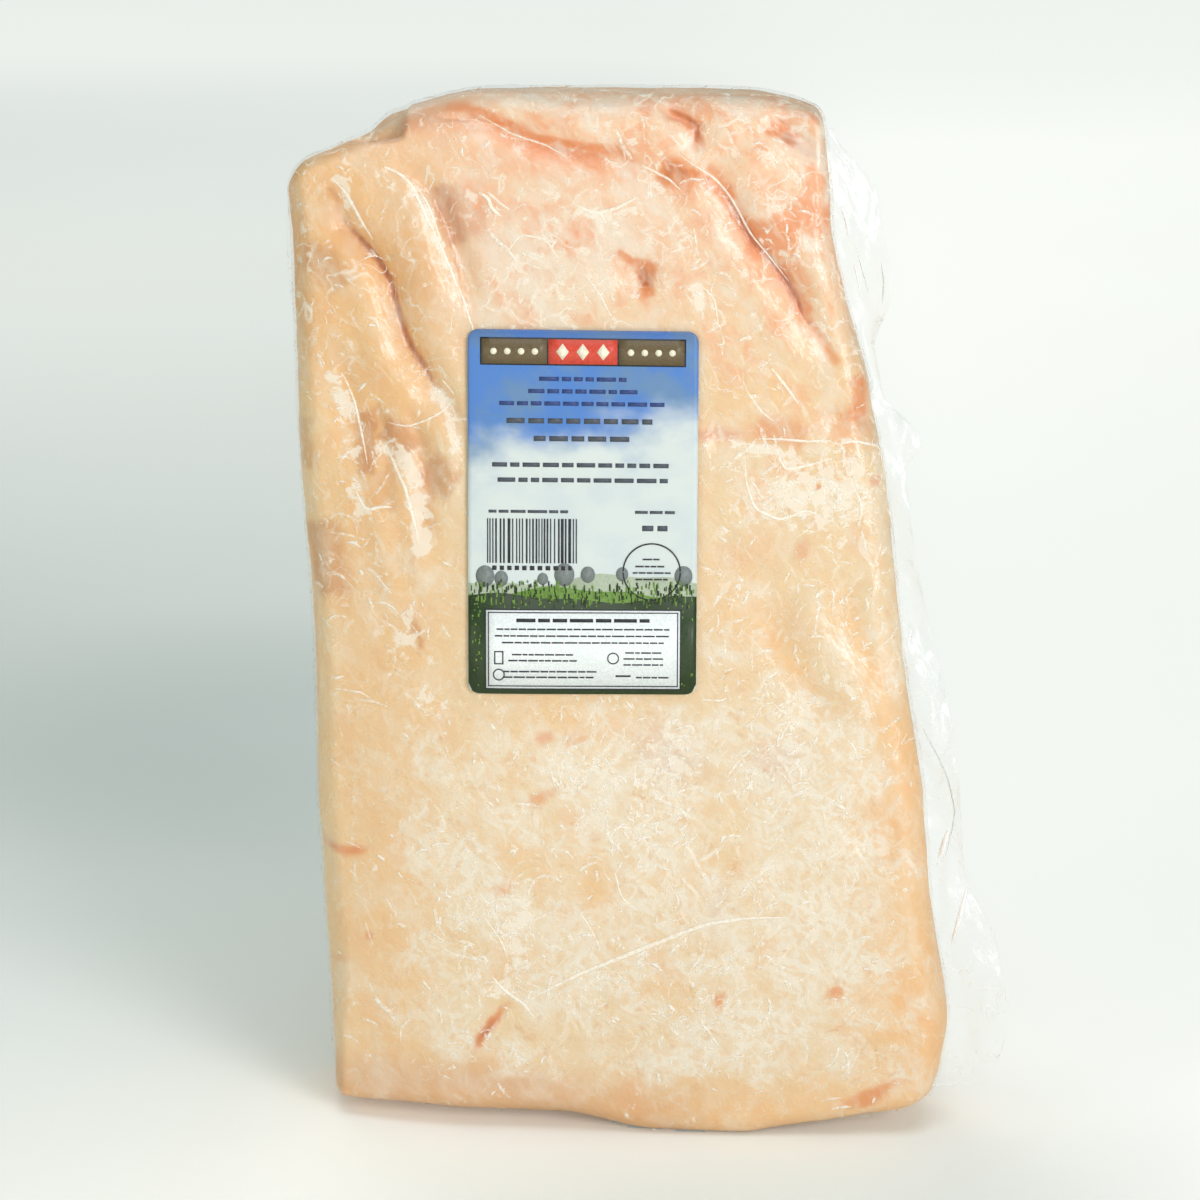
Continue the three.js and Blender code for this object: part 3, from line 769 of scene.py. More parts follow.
def slab_colours(points, outward, settings):
    """Colour, frost, blush and the line at the bottom of the creases, for each point of the slab."""
    names = ("cream", "warm", "peach", "pale", "fold", "tan", "raw", "lean", "brown", "mauve", "line")
    named = {name: np.array(getattr(settings, name)) for name in names}
    cream, warm, peach, pale, tan, raw = (named[name] for name in ("cream", "warm", "peach", "pale", "tan", "raw"))
    x, y, z = points.T
    drift = layered_noise(points, 26, 3)
    fine = layered_noise(points, 8, 9)
    ragged = layered_noise(points, 4.5, 15)
    wx = x + 5 * drift + 1.5 * fine
    wz = z + 6 * layered_noise(points, 22, 5) + 1.5 * fine

    def mixed(colour, share, target):
        return lerp(colour, target, np.clip(share, 0, 1)[:, None])

    colour = np.tile(cream, (len(points), 1))
    colour = mixed(colour, smooth(205, 262, wz), peach)
    left_band = smooth(-48, -70, wx) * (0.55 + 0.45 * smooth(120, 210, wz)) * smooth(290, 265, wz)
    colour = mixed(colour, 0.9 * left_band, warm)
    # Painted light: the far left edge is drawn toward the pale lit-edge colour, lightening it where the lamps leave it
    # dark.
    colour = mixed(colour, 0.75 * smooth(-83, -95, x) * smooth(240, 200, z), np.array(settings.edge))
    colour = mixed(colour, 0.9 * smooth(50, 80, wx) * smooth(150, 110, wz), warm)
    # Painted shade: warmer and browner along the foot, where the lower rounded edge turns down away from the light.
    colour = mixed(colour, 0.72 * smooth(26, 5, wz), warm)
    colour = mixed(colour, 0.6 * smooth(24, 8, wz) * smooth(30, 0, wx), tan)
    skin_share = smooth(0.3, -0.4, outward[:, 1])
    facing = smooth(-0.1, -0.7, outward[:, 1])
    cleft, marked = np.zeros(len(points)), np.zeros(len(points))
    for centre, half, turn, strength, target in PATCHES:
        crisp = target in ("fold", "line")
        share = strength * patch_share(x + 2.2 * ragged, z + 2.2 * fine, centre, half, turn, crisp) * facing
        colour = mixed(colour, share, named[target])
        if target in ("fold", "line", "warm"):
            marked = np.maximum(marked, np.clip(1.2 * share, 0, 1))
    for run, full, gone, strength, target in BANDS:
        share = strength * band_share(x + 1.6 * ragged, z + 1.2 * fine, run, full, gone) * facing
        colour = mixed(colour, share, named[target])
        marked = np.maximum(marked, share)
    # Painted shade along the creases: each is tinted darker along its valley, partly its own colour.
    for crease in CREASES:
        target, strength, keen = CREASE_TINTS[crease["name"]]
        distance, along, _ = nearest(crease["run"], x + 1.8 * ragged, z + 1.5 * fine)
        uneven = 0.8 + 0.7 * fine
        share = strength * bell(distance / (0.75 * crease["width"])) * taper(along)
        colour = mixed(colour, share * skin_share * uneven, named[target])
        # The cleft share places the dark line painted at the bottom of each crease, partly painted shade.
        distance, along, _ = nearest(crease["run"], x, z)
        cleft = np.maximum(cleft, keen * np.clip(1 - distance / 2.6, 0, 1) * long_taper(along) * skin_share)

    cut_side = smooth(0.45, 0.85, np.abs(outward[:, 0]))
    layer = np.sin(y * 0.62 + 1.8 * drift + 0.02 * z)
    colour = mixed(colour, 0.3 * cut_side * smooth(0.2, 0.95, layer) * smooth(-12, 0, y), raw)
    meat_side = smooth(0.2, 0.7, outward[:, 1])
    colour = mixed(colour, meat_side * 0.65 * smooth(-0.1, 0.5, layered_noise(points, 30, 21)), raw)
    colour = mixed(colour, meat_side * 0.5 * smooth(0.05, 0.5, layered_noise(points, 18, 33)), pale)

    frost = lower_frost(wx, wz) * skin_share
    for centre, half, turn, strength in FROSTED:
        share = strength * patch_share(x + 6 * drift, z + 4 * fine, centre, half, turn) * skin_share
        frost = np.maximum(frost, share)
    # Painted highlight: the slab is also whitened with frost along the glare runs of the film.
    for run, full, gone, strength in CRUMPLE_GLARE_RUNS:
        frost = np.maximum(frost, 0.7 * strength * band_share(x, z, run, full, gone) * skin_share)
    frost = np.maximum(frost, 0.4 * meat_side)
    frost = frost * (0.84 + 0.75 * layered_noise(points, 24, 41)) * (1 - under_label(x, z) * skin_share) * (1 - marked)
    blush = 0.16 + 0.64 * smooth(200, 258, wz) * smooth(-62, -30, wx) + 0.24 * smooth(10, 50, wx) * smooth(140, 200, wz)
    blush = np.maximum(blush * skin_share, 0.35 * meat_side)
    return colour, np.clip(frost, 0, 1), blush, cleft


# ---------------------------------------------------------------- materials


class Finish:
    """A material with short ways to add and join its nodes."""

    def __init__(self, name):
        self.material = bpy.data.materials.new(name)
        self.material.use_nodes = True
        self.tree = self.material.node_tree
        self.tree.nodes.clear()
        self.out = self.tree.nodes.new("ShaderNodeOutputMaterial")

    def add(self, kind, inputs=(), **settings):
        node = self.tree.nodes.new(kind)
        for name, value in settings.items():
            setattr(node, name, value)
        for name, value in dict(inputs).items():
            if isinstance(value, bpy.types.NodeSocket):
                self.tree.links.new(value, node.inputs[name])
            else:
                node.inputs[name].default_value = value
        return node

    def place(self):
        return self.add("ShaderNodeTexCoord").outputs["Object"]

    def stretched(self, place, turn, scale):
        """Places for a pattern that is turned, and then drawn out by the scale along its own axes."""
        return self.add("ShaderNodeMapping", {"Vector": place, "Rotation": turn, "Scale": scale},
                        vector_type="TEXTURE").outputs[0]

    def warped(self, place, size_mm, amount_mm):
        """Places pushed about by a soft noise, so that a pattern drawn there flows."""
        push = self.noise(place, size_mm, 0.0, output="Color")
        centred = self.add("ShaderNodeVectorMath", {0: push, 1: (0.5, 0.5, 0.5)}, operation="SUBTRACT").outputs[0]
        scaled = self.add("ShaderNodeVectorMath", {0: centred, "Scale": amount_mm * MM}, operation="SCALE").outputs[0]
        return self.add("ShaderNodeVectorMath", {0: place, 1: scaled}, operation="ADD").outputs[0]

    def strokes(self, place, turn, size_mm, length, low, high):
        """Short strokes that lean the same way: the peaks of a drawn-out noise."""
        leaning = self.stretched(place, (0, turn, 0), (1, 1, length))
        return self.ranged(self.noise(leaning, size_mm, 1.0), low, high)

    def tangle(self, place, turns, size_mm, length, low, high):
        """Strokes in several directions at once."""
        total = self.strokes(place, turns[0], size_mm, length, low, high)
        for turn in turns[1:]:
            total = self.maths("MAXIMUM", total, self.strokes(place, turn, size_mm, length, low, high))
        return total

    def noise(self, place, size_mm, detail=2.0, rough=0.5, distortion=0.0, output="Fac"):
        return self.add("ShaderNodeTexNoise", {
            "Vector": place, "Scale": 1 / (size_mm * MM), "Detail": detail, "Roughness": rough,
            "Distortion": distortion}).outputs[output]

    def painted(self, name, output="Fac"):
        return self.add("ShaderNodeAttribute", attribute_name=name).outputs[output]

    def ranged(self, value, low, high, to_low=0.0, to_high=1.0, kind="SMOOTHSTEP"):
        return self.add("ShaderNodeMapRange", {
            "Value": value, "From Min": low, "From Max": high, "To Min": to_low, "To Max": to_high,
        }, interpolation_type=kind, clamp=True).outputs["Result"]

    def maths(self, kind, first, second=0.0, clamp=False):
        node = self.add("ShaderNodeMath", operation=kind, use_clamp=clamp)
        for n, value in enumerate((first, second)):
            if isinstance(value, bpy.types.NodeSocket):
                self.tree.links.new(value, node.inputs[n])
            else:
                node.inputs[n].default_value = value
        return node.outputs[0]

    def plus(self, first, second, clamp=False):
        return self.maths("ADD", first, second, clamp)

    def times(self, first, second, clamp=False):
        return self.maths("MULTIPLY", first, second, clamp)

    def mixed(self, share, first, second, blend="MIX"):
        node = self.add("ShaderNodeMix", data_type="RGBA", blend_type=blend)
        for socket, value in ((node.inputs[0], share), (node.inputs[6], first), (node.inputs[7], second)):
            if isinstance(value, bpy.types.NodeSocket):
                self.tree.links.new(value, socket)
            elif isinstance(value, (int, float)):
                socket.default_value = value
            else:
                socket.default_value = (*value, 1)
        return node.outputs[2]

    def bumped(self, height, strength, distance_mm, normal=None):
        inputs = {"Height": height, "Strength": strength, "Distance": distance_mm * MM}
        if normal:
            inputs["Normal"] = normal
        return self.add("ShaderNodeBump", inputs).outputs[0]

    def fine_lines(self, place, size_mm, width, broken_size_mm, low, high, distortion=0.4):
        """Short curly lines: the middle contour of a noise, broken up by a second noise."""
        line = self.noise(place, size_mm, 1.5, 0.5, distortion)
        off_middle = self.maths("ABSOLUTE", self.maths("SUBTRACT", line, 0.5))
        drawn = self.ranged(off_middle, width, 0.0)
        kept = self.ranged(self.noise(place, broken_size_mm, 2.0), low, high)
        return self.times(drawn, kept)

    def done(self, shader):
        self.tree.links.new(shader.outputs[0], self.out.inputs["Surface"])
        return self.material


def slab_finish(settings):
    """Frozen fat and skin: painted colour, blushes of lean, and frost with feathery edges and fibres."""
    finish = Finish("frozen_pork_fat")
    place = finish.place()
    flowing = finish.warped(place, 9, 6)
    flesh = finish.painted("flesh", "Color")
    frost = finish.painted("frost")
    blush = finish.painted("blush")
    marbling = finish.noise(finish.stretched(flowing, (0, -0.6, 0), (1, 1, 1.7)), 9, 3, 0.55)
    grain = finish.noise(finish.stretched(flowing, (0, -0.5, 0), (1, 1, 2.2)), 3, 2, 0.55)
    redder = finish.times(finish.ranged(marbling, 0.5, 0.66), finish.times(blush, 0.8))
    red_grain = finish.times(finish.ranged(grain, 0.52, 0.68), finish.times(blush, 0.35))
    redder = finish.plus(redder, red_grain)
    half_blush = finish.plus(finish.times(blush, 0.5), 0.16)
    paler = finish.times(finish.ranged(marbling, 0.5, 0.36), half_blush)
    pale_grain = finish.times(finish.ranged(grain, 0.46, 0.34), finish.times(half_blush, 0.5))
    paler = finish.plus(paler, pale_grain)
    toned = finish.mixed(redder, flesh, tuple(settings.raw))
    toned = finish.mixed(paler, toned, tuple(settings.pale))
    # Painted shade: a dark red line at the bottom of each crease, partly its colour and partly the shade in it.
    ragged = finish.plus(finish.painted("cleft"), finish.times(finish.noise(place, 2.4, 2), 0.5))
    line = finish.ranged(ragged, 0.62, 1.15, 0.0, 0.85)
    toned = finish.mixed(line, toned, tuple(settings.line))
    flakes = finish.noise(flowing, 12, 3, 0.62)
    covered = finish.plus(flakes, finish.times(frost, 0.3))
    clouds = finish.times(finish.ranged(covered, 0.52, 0.86), finish.ranged(frost, 0.0, 0.3, 0.3, 1.0))
    flecks = finish.times(finish.ranged(finish.noise(flowing, 4, 2, 0.6), 0.6, 0.7),
                          finish.ranged(frost, 0.1, 0.6, 0.05, 0.4))
    toned = finish.mixed(flecks, toned, tuple(settings.tan))
    fibres = finish.tangle(flowing, (-0.45, 0.7, -1.2), 2.0, 3.6, 0.5, 0.64)
    icy = finish.times(clouds, finish.plus(finish.times(fibres, 0.6), 0.34))
    icy = finish.times(icy, finish.maths("SUBTRACT", 1.0, finish.times(flecks, 0.6)))
    colour = finish.mixed(finish.times(icy, 0.95, clamp=True), toned, tuple(settings.frost))
    crystals = finish.noise(place, 2.4, 2, 0.6)
    normal = finish.bumped(crystals, finish.ranged(frost, 0.0, 1.0, 0.25, 0.5), 0.6)
    shader = finish.add("ShaderNodeBsdfPrincipled", {
        "Base Color": colour,
        "Roughness": finish.ranged(marbling, 0.3, 0.7, 0.38, 0.6, "LINEAR"),
        "IOR": 1.4,
        "Normal": normal,
    })
    return finish.done(shader)


def film_finish(settings, name, milk_and_glint_tone, haze=0.0, gloss=0.0):
    """Clear film: see-through, glossy, more so at a slant, with milky strokes where it is creased, partly painted
    highlights.
    """
    finish = Finish(name)
    place = finish.place()
    flowing = finish.warped(place, 12, 7)
    pull = finish.noise(finish.stretched(place, (0, -0.5, 0), (1, 1, 2.2)), 2.6, 2, 0.6)
    normal = finish.bumped(pull, 0.8, 0.8)
    fresnel = finish.add("ShaderNodeFresnel", {"IOR": 1.5}).outputs[0]
    bounce = finish.ranged(fresnel, 0.04, 1.0, 0.025, 0.14, "LINEAR")
    clear = finish.add("ShaderNodeBsdfTransparent", {"Color": (1, 1, 1, 1)})
    gloss = finish.add("ShaderNodeBsdfAnisotropic", {
        "Color": (1, 1, 1, 1), "Roughness": gloss or settings.gloss, "Normal": normal})
    shiny = finish.add("ShaderNodeMixShader", {0: bounce, 1: clear.outputs[0], 2: gloss.outputs[0]})
    # The matt white mixed in below stands partly for whitened, creased film and partly for painted highlights, the
    # glints of its crinkles.
    milk_and_glint = finish.add("ShaderNodeBsdfDiffuse", {"Color": (*milk_and_glint_tone, 1), "Roughness": 0.5})
    strokes = finish.tangle(flowing, (-0.5, 0.75), 2.3, 4.5, 0.6, 0.7)
    where = finish.times(finish.ranged(finish.noise(place, 16, 2), 0.4, 0.62, 0.15, 0.7),
                         finish.painted("creased"))
    # Painted highlights: crisp white patches where the film glares, more where the glare share painted on the mesh is
    # high.
    torn_glare = finish.plus(finish.noise(flowing, 3.6, 3, 0.62), finish.times(finish.painted("crumple_glare"), 0.3))
    web_glints = finish.fine_lines(flowing, 8, 0.03, 10, 0.42, 0.6)
    drawn = finish.maths("MAXIMUM", finish.times(strokes, where), finish.times(web_glints, finish.painted("webbed")))
    share = finish.maths("MAXIMUM", drawn, finish.ranged(torn_glare, 0.64, 0.74, 0.0, 0.7))
    share = finish.plus(share, haze, clamp=True)
    return finish.done(finish.add("ShaderNodeMixShader", {0: share, 1: shiny.outputs[0], 2: milk_and_glint.outputs[0]}))


def crease_finish(name, colour, low, high):
    """The back of a sharp little crease in the film, clearest along its crest, its pale colour partly a painted
    highlight.
    """
    finish = Finish(name)
    place = finish.place()
    uneven = finish.noise(place, 1.6, 2)
    shader = finish.add("ShaderNodeBsdfPrincipled", {
        "Base Color": (*colour, 1),
        "Roughness": finish.ranged(uneven, 0.3, 0.7, 0.2, 0.45, "LINEAR"),
        "Alpha": finish.times(finish.ranged(finish.painted("crest"), 0.1, 0.6),
                            finish.ranged(uneven, 0.38, 0.62, low, high, "LINEAR")),
        "Normal": finish.bumped(uneven, 0.2, 0.1),
    })
    return finish.done(shader)


# ---------------------------------------------------------------- operators: one piece each


class BELLY_OT_slab(bpy.types.Operator):
    """Makes the frozen slab inside the film"""
    bl_idname = "belly.add_slab"
    bl_label = "Slab"

    def execute(self, context):
        settings = context.scene.belly_slab
        cube, faces = block_lattice(settings.across, settings.deep, settings.up)
        points, outward = pack_surface(cube, lambda x, z: skin_relief(x, z, STEP["back"], 1.0))
        lumps = layered_noise(points, 24, 51) + 0.5 * layered_noise(points, 9, 61)
        rest = 1 - under_label(points[:, 0], points[:, 2]) * on_skin_side(outward)
        lift = settings.lumps / MM * (lumps - 0.6) * rest - settings.inset / MM
        points = points + outward * lift[:, None]
        points[:, 2] = np.maximum(points[:, 2], settings.inset / MM)
        slab = add_piece("pork_slab", points, faces, slab_finish(settings), "vacuum_pack")
        colour, frost, blush, cleft = slab_colours(points, outward, settings)
        paint(slab, "flesh", colour)
        paint(slab, "frost", frost)
        paint(slab, "blush", blush)
        paint(slab, "cleft", cleft)
        return {"FINISHED"}


def film_wrinkles(points, height):
    """Small wrinkles: ridged noise at two sizes, mostly running up and to the left."""
    turned = points @ np.array([[0.82, 0, 0.57], [0, 1, 0], [-0.4, 0, 0.57]])
    broad = 1 - np.abs(layered_noise(turned, 13, 71, 2)) * 2.2
    narrow = 1 - np.abs(layered_noise(turned, 7, 81, 2)) * 2.2
    where = smooth(-0.3, 0.5, layered_noise(points, 34, 91))
    return height * (0.6 * np.clip(broad, 0, 1) ** 3 + 0.5 * np.clip(narrow, 0, 1) ** 3 * where)


class BELLY_OT_film(bpy.types.Operator):
    """Makes the film that clings to the slab"""
    bl_idname = "belly.add_film"
    bl_label = "Film"

    def execute(self, context):
        slab, settings = context.scene.belly_slab, context.scene.belly_film
        cube, faces = block_lattice(slab.across, slab.deep, slab.up)
        points, outward = pack_surface(cube, lambda x, z: skin_relief(x, z, 0.5 * STEP["back"], 0.0))
        rest = 1 - under_label(points[:, 0], points[:, 2]) * on_skin_side(outward)
        lift = film_wrinkles(points, settings.wrinkle / MM) * rest
        points = points + outward * lift[:, None]
        points[:, 2] = np.maximum(points[:, 2], 0)
        finish = film_finish(settings, "clear_film", tone(246, 237, 220))
        film = add_piece("film_skin", points, faces, finish, "vacuum_pack")
        clear_to_light(film)
        x, _, z = points.T
        share, _ = crease_density(x, z)
        clear = 1 - 0.85 * marks_share(x, z)
        # The white patches painted on the film are partly crumpled film and partly painted glare.
        crumple_glare = np.maximum(crumple_glare_share(x, z), 0.14 * smooth(200, 250, z)) * on_skin_side(outward)
        paint(film, "creased", (0.15 + 0.85 * share) * clear)
        paint(film, "crumple_glare", crumple_glare - 0.4 * (1 - clear))
        paint(film, "webbed", (0.2 + 0.5 * smooth(190, 240, z)) * clear)
        return {"FINISHED"}


# ---------------------------------------------------------------- loose film margins


def right_reach(z):
    upper = 12.8 * smooth(284, 262, z) * smooth(218, 244, z)
    waist = 10 * bell((z - 195) / 8.5)
    lower = (4.5 + 5.5 * smooth(178, 115, z) + 7.1 * smooth(70, 46, z)) * smooth(205, 188, z)
    return np.maximum.reduce([np.full(z.shape, 1.2), upper, waist, lower])


def left_reach(z):
    return 0.4 + 3.3 * smooth(212, 242, z) * smooth(268, 256, z)


MARGINS = (
    dict(name="film_margin_right", side=1, edge=right_side, reach=right_reach, share=0.78, wave=2.6,
         start=3, end=282, rows=300, columns=26, crumple=1.5),
    dict(name="film_margin_left", side=-1, edge=left_side, reach=left_reach, share=0.8, wave=1.2,
         start=205, end=268, rows=80, columns=12, crumple=0.7),
)
MARGIN_ROOT = 3.0
MARGIN_THICK = 0.3


def thin_sheet(front, back):
    """Points and faces of a closed thin sheet from two grids of points of the same shape."""
    rows, columns = front.shape[:2]
    count = rows * columns
    points = np.concatenate([front.reshape(-1, 3), back.reshape(-1, 3)])
    faces = []
    for row in range(rows - 1):
        for column in range(columns - 1):
            at = row * columns + column
            ring = (at, at + 1, at + columns + 1, at + columns)
            faces.append(ring)
            faces.append(tuple(count + v for v in reversed(ring)))
    rim = [column for column in range(columns)]
    rim += [row * columns + columns - 1 for row in range(1, rows)]
    rim += [(rows - 1) * columns + column for column in range(columns - 2, -1, -1)]
    rim += [row * columns for row in range(rows - 2, 0, -1)]
    for here, after in zip(rim, rim[1:] + rim[:1]):
        faces.append((after, here, here + count, after + count))
    return points, faces


def margin_sheet(margin):
    """The wavy sheet of film beyond one side of the slab."""
    out, up = np.meshgrid(
        np.linspace(0, 1, margin["columns"] + 1), np.linspace(0, 1, margin["rows"] + 1))
    side = margin["side"]
    z = lerp(margin["start"], margin["end"], up)
    x = margin["edge"](z) + side * lerp(-MARGIN_ROOT, margin["reach"](z), out)
    middle = lerp(skin_face(x, z), meat_face(x, z), margin["share"])
    sway = margin["wave"] * out * np.sin(z / 11 + 2 * out)
    flat = np.stack([x, np.zeros_like(x), z * 0.6], -1).reshape(-1, 3)
    folds = 1 - 2 * np.abs(layered_noise(flat, 11, 131, 3)).reshape(x.shape)
    crumple = margin["crumple"] * smooth(0, 0.35, out) * (folds - 0.4)
    y = middle + sway + crumple
    flat_edge = 0.5 * np.sin(z / 3.1) * smooth(0.9, 1, out)
    front = np.stack([x, y - MARGIN_THICK / 2 + flat_edge, z], -1)
    back = np.stack([x, y + MARGIN_THICK / 2 + flat_edge, z], -1)
    return (front, back) if side > 0 else (front[:, ::-1], back[:, ::-1])


class BELLY_OT_margins(bpy.types.Operator):
    """Makes the loose film beside the slab"""
    bl_idname = "belly.add_margins"
    bl_label = "Film margins"

    def execute(self, context):
        finish = film_finish(context.scene.belly_film, "loose_film", tone(248, 249, 247), 0.02, 0.34)
        for margin in MARGINS:
            points, faces = thin_sheet(*margin_sheet(margin))
            sheet = add_piece(margin["name"], points, faces, finish, "vacuum_pack")
            clear_to_light(sheet)
            paint(sheet, "creased", np.full(len(points), 0.2))
            paint(sheet, "crumple_glare", np.full(len(points), -0.6))
            paint(sheet, "webbed", np.full(len(points), 0.15))
        return {"FINISHED"}


# ---------------------------------------------------------------- sharp little creases of the film

# Long creases that stand out, near white along their crests as painted highlights: run of points (x, z), width.
LONG_CREASES = (
    (((-34.6, 38.5), (-30, 41.5), (-18.5, 47.6), (-1.6, 55), (10, 60), (17.5, 62.8), (28, 64.6), (40, 65)), 2.2),
    (((-44, 47), (-41.5, 43.5), (-38, 40.5), (-34.6, 38.5), (-31, 33.5)), 1.8),
    (((-67.5, 291), (-72.5, 280), (-75.5, 276.5)), 1.4),
    (((-66, 291), (-68.5, 284), (-71, 277)), 0.9),
    (((-47.5, 288.5), (-38, 283), (-28.5, 280), (-22, 276.5)), 0.9),
    (((7, 279), (11, 276), (17.5, 272), (22, 266.5), (24.5, 262), (27.5, 256.5), (33, 250), (38.5, 243)), 1.2),
    (((-3, 275.5), (5.5, 271.5), (9, 268)), 1.2),
    (((-88, 270.5), (-84, 266.5), (-81, 261.5), (-78.5, 257), (-76, 253)), 1.7),
    (((-73.5, 274), (-69, 272.3), (-65.5, 269.5), (-63, 265)), 1.6),
    (((-66, 268.8), (-63, 264.5), (-60.8, 259.5), (-58.5, 255.5)), 1.8),
    (((-63.5, 268), (-60.6, 263.5), (-58.6, 258), (-57, 253)), 1.3),
    (((-58.6, 255.5), (-56.4, 250.5), (-54.3, 245.5), (-52.6, 241)), 1.5),
    (((-53.5, 243.5), (-51, 238), (-49.3, 232.5), (-47.2, 227)), 1.2),
    (((-67.7, 290.2), (-70.5, 284.5), (-72.5, 279.8)), 1.4),
    (((-79.4, 288.5), (-76.1, 283.7), (-73.9, 280)), 1.0),
    (((-89.4, 279.3), (-82.3, 280.2), (-72.5, 279.6), (-62.8, 280.6)), 1.5),
    (((-47.5, 267.5), (-44, 266), (-43.5, 263), (-40, 260.5)), 2.0),
    (((-45, 268), (-41, 264.5), (-38, 262.5)), 1.4),
    (((-21, 264.5), (-15, 262), (-9, 263.5), (-3, 267)), 1.8),
    (((-17, 260.5), (-13.5, 263), (-12, 259)), 1.7),
    (((26.5, 196), (27, 188), (29.5, 181), (36.5, 178), (43.5, 181), (50, 178.5)), 1.4),
    (((35, 198.5), (37.5, 192), (44.5, 193.5), (51.5, 196)), 1.2),
    (((29.5, 200.5), (37.5, 200.5), (44.5, 200), (51, 200.5)), 1.2),
    (((51.5, 199), (56.5, 200.5), (63.5, 198), (65.5, 188)), 1.4),
    (((55.5, 189.5), (59, 182.5), (58, 175.5)), 1.2),
    (((33, 221), (37.5, 215.5), (41.5, 210)), 1.4),
    (((27, 214), (31, 208), (35, 205)), 0.9),
    (((-86, 217), (-83.5, 212.5), (-81.5, 207), (-79.5, 198), (-78, 191)), 1.2),
    (((-73, 203.5), (-66, 202.5), (-61, 205), (-56, 207.5), (-53.5, 211)), 1.0),
    (((-72.5, 195.5), (-67.5, 186), (-65, 176.5), (-63.5, 169.5)), 1.7),
    (((-82, 184.5), (-79, 178.5), (-74.5, 180), (-70.5, 180)), 1.7),
    (((-57.5, 216), (-53.5, 211.5)), 1.0),
    (((-39.5, 250.5), (-35.5, 256), (-28.5, 255), (-24.5, 249)), 1.0),
    (((-18.5, 246.5), (-13.5, 240), (-10, 233)), 0.9),
    (((14, 243), (18, 239), (19, 230.5)), 0.9),
    (((-46, 64), (-41, 57), (-38.5, 50)), 0.9),
    (((-19, 66), (-15, 60), (-12.5, 54)), 0.9),
    (((-9, 78), (-7, 70), (-2, 66)), 0.9),
)


# Painted highlights as bright white streaks, and thin folds painted grey as painted shade, of the loose film at the
# right: run of points (x, z), width.
MARGIN_GLINTS = (
    (((52.4, 261), (54.4, 255.7), (54.6, 252)), 1.8),
    (((56, 246), (57.5, 240), (58.4, 234.5)), 1.2),
    (((50.7, 276.3), (53.6, 272.1), (55.3, 265.2)), 1.2),
    (((86.1, 81.5), (84.5, 75.2), (82.9, 69.8)), 2.4),
    (((91.9, 64.2), (89.8, 55.5), (87.4, 46.7)), 2.2),
    (((74.3, 140.4), (73.3, 135.4)), 1.6),
    (((79.3, 148.9), (81, 140), (82.6, 134)), 1.0),
)
MARGIN_FOLDS = (
    (((77.1, 113.4), (81.3, 105.5), (85.2, 97.6), (87.7, 87.2), (87.2, 81.5), (85.1, 72.2)), 0.8),
    (((76.9, 153.8), (78.5, 146), (79.4, 139.6)), 0.6),
    (((90.2, 75.3), (91.4, 70), (92.5, 64.2)), 0.6),
    (((63.5, 246), (64.6, 240), (64.2, 233)), 0.7),
    (((57.4, 272), (60.2, 265.3), (62, 256)), 0.6),
    (((56.5, 250), (58.5, 243), (60.5, 236)), 0.5),
)


def crease_density(x, z):
    """How thickly the little creases lie, 0 to 1, and how short they are there."""
    dense = patch_share(x, z, (6, 84), (66, 62), 0)
    lively = 0.3 + 0.5 * patch_share(x, z, (40, 185), (40, 40), 0)
    calm_left = smooth(-60, -80, x) * smooth(140, 110, z)
    calm_right = smooth(62, 78, x) * smooth(130, 90, z)
    calm_rolls = smooth(-48, -60, x) * smooth(205, 220, z)
    share = np.maximum(lively, dense) * (1 - 0.75 * calm_left) * (1 - 0.7 * calm_right) * (1 - 0.6 * calm_rolls)
    return share * smooth(6, 22, z) * (1 - under_label(x, z)), dense


def crease_lean(x, z, draw):
    """Way of a little crease: mostly up to the left on the left, and up to the right on the right."""
    rightward = smooth(-45, 30, x) * smooth(190, 130, z) + 0.45 * smooth(130, 190, z)
    if draw.uniform() < 0.2:
        return math.radians(draw.choice([5, 90, 160]) + draw.normal(0, 16))
    return math.radians((58 if draw.uniform() < rightward else 124) + draw.normal(0, 16))


def crease_paths(count, seed):
    """Runs of points (x, z) for the little creases, with a width and a strength for each."""
    draw = np.random.default_rng(seed)
    paths = []
    while len(paths) < count:
        x, z = draw.uniform(-97, 90), draw.uniform(4, 291)
        share, dense = crease_density(np.array(x), np.array(z))
        share = share * (0.3 + 1.4 * smooth(-0.1, 0.35, layered_noise(np.array([[x, 0, z]]), 17, 131))[0])
        middle = 7.0 if draw.uniform() < 0.16 else lerp(3.8, 2.8, float(dense))
        length = draw.lognormal(math.log(middle), 0.35)
        angle = crease_lean(x, z, draw)
        bend = draw.normal(0, 0.4)
        strength = 0.22 + 0.78 * draw.beta(1.2 + 0.8 * float(dense), 1.8 - 0.6 * float(dense))
        width = draw.uniform(0.8, 1.6) * (1 + 0.03 * length) * (0.7 + 0.45 * strength)
        keep = draw.uniform() < float(share)
        if not keep or not left_side(z) + 5 < x < right_side(z) - 4 or z > top_end(x, 0) - 8:
            continue
        steps = max(4, min(9, int(length / 0.9)))
        run = [(x, z)]
        for _ in range(steps):
            angle += bend / steps * 2 + draw.normal(0, 0.16)
            x, z = x + math.cos(angle) * length / steps, z + math.sin(angle) * length / steps
            run.append((x, z))
        paths.append((run, width, strength))
    return paths


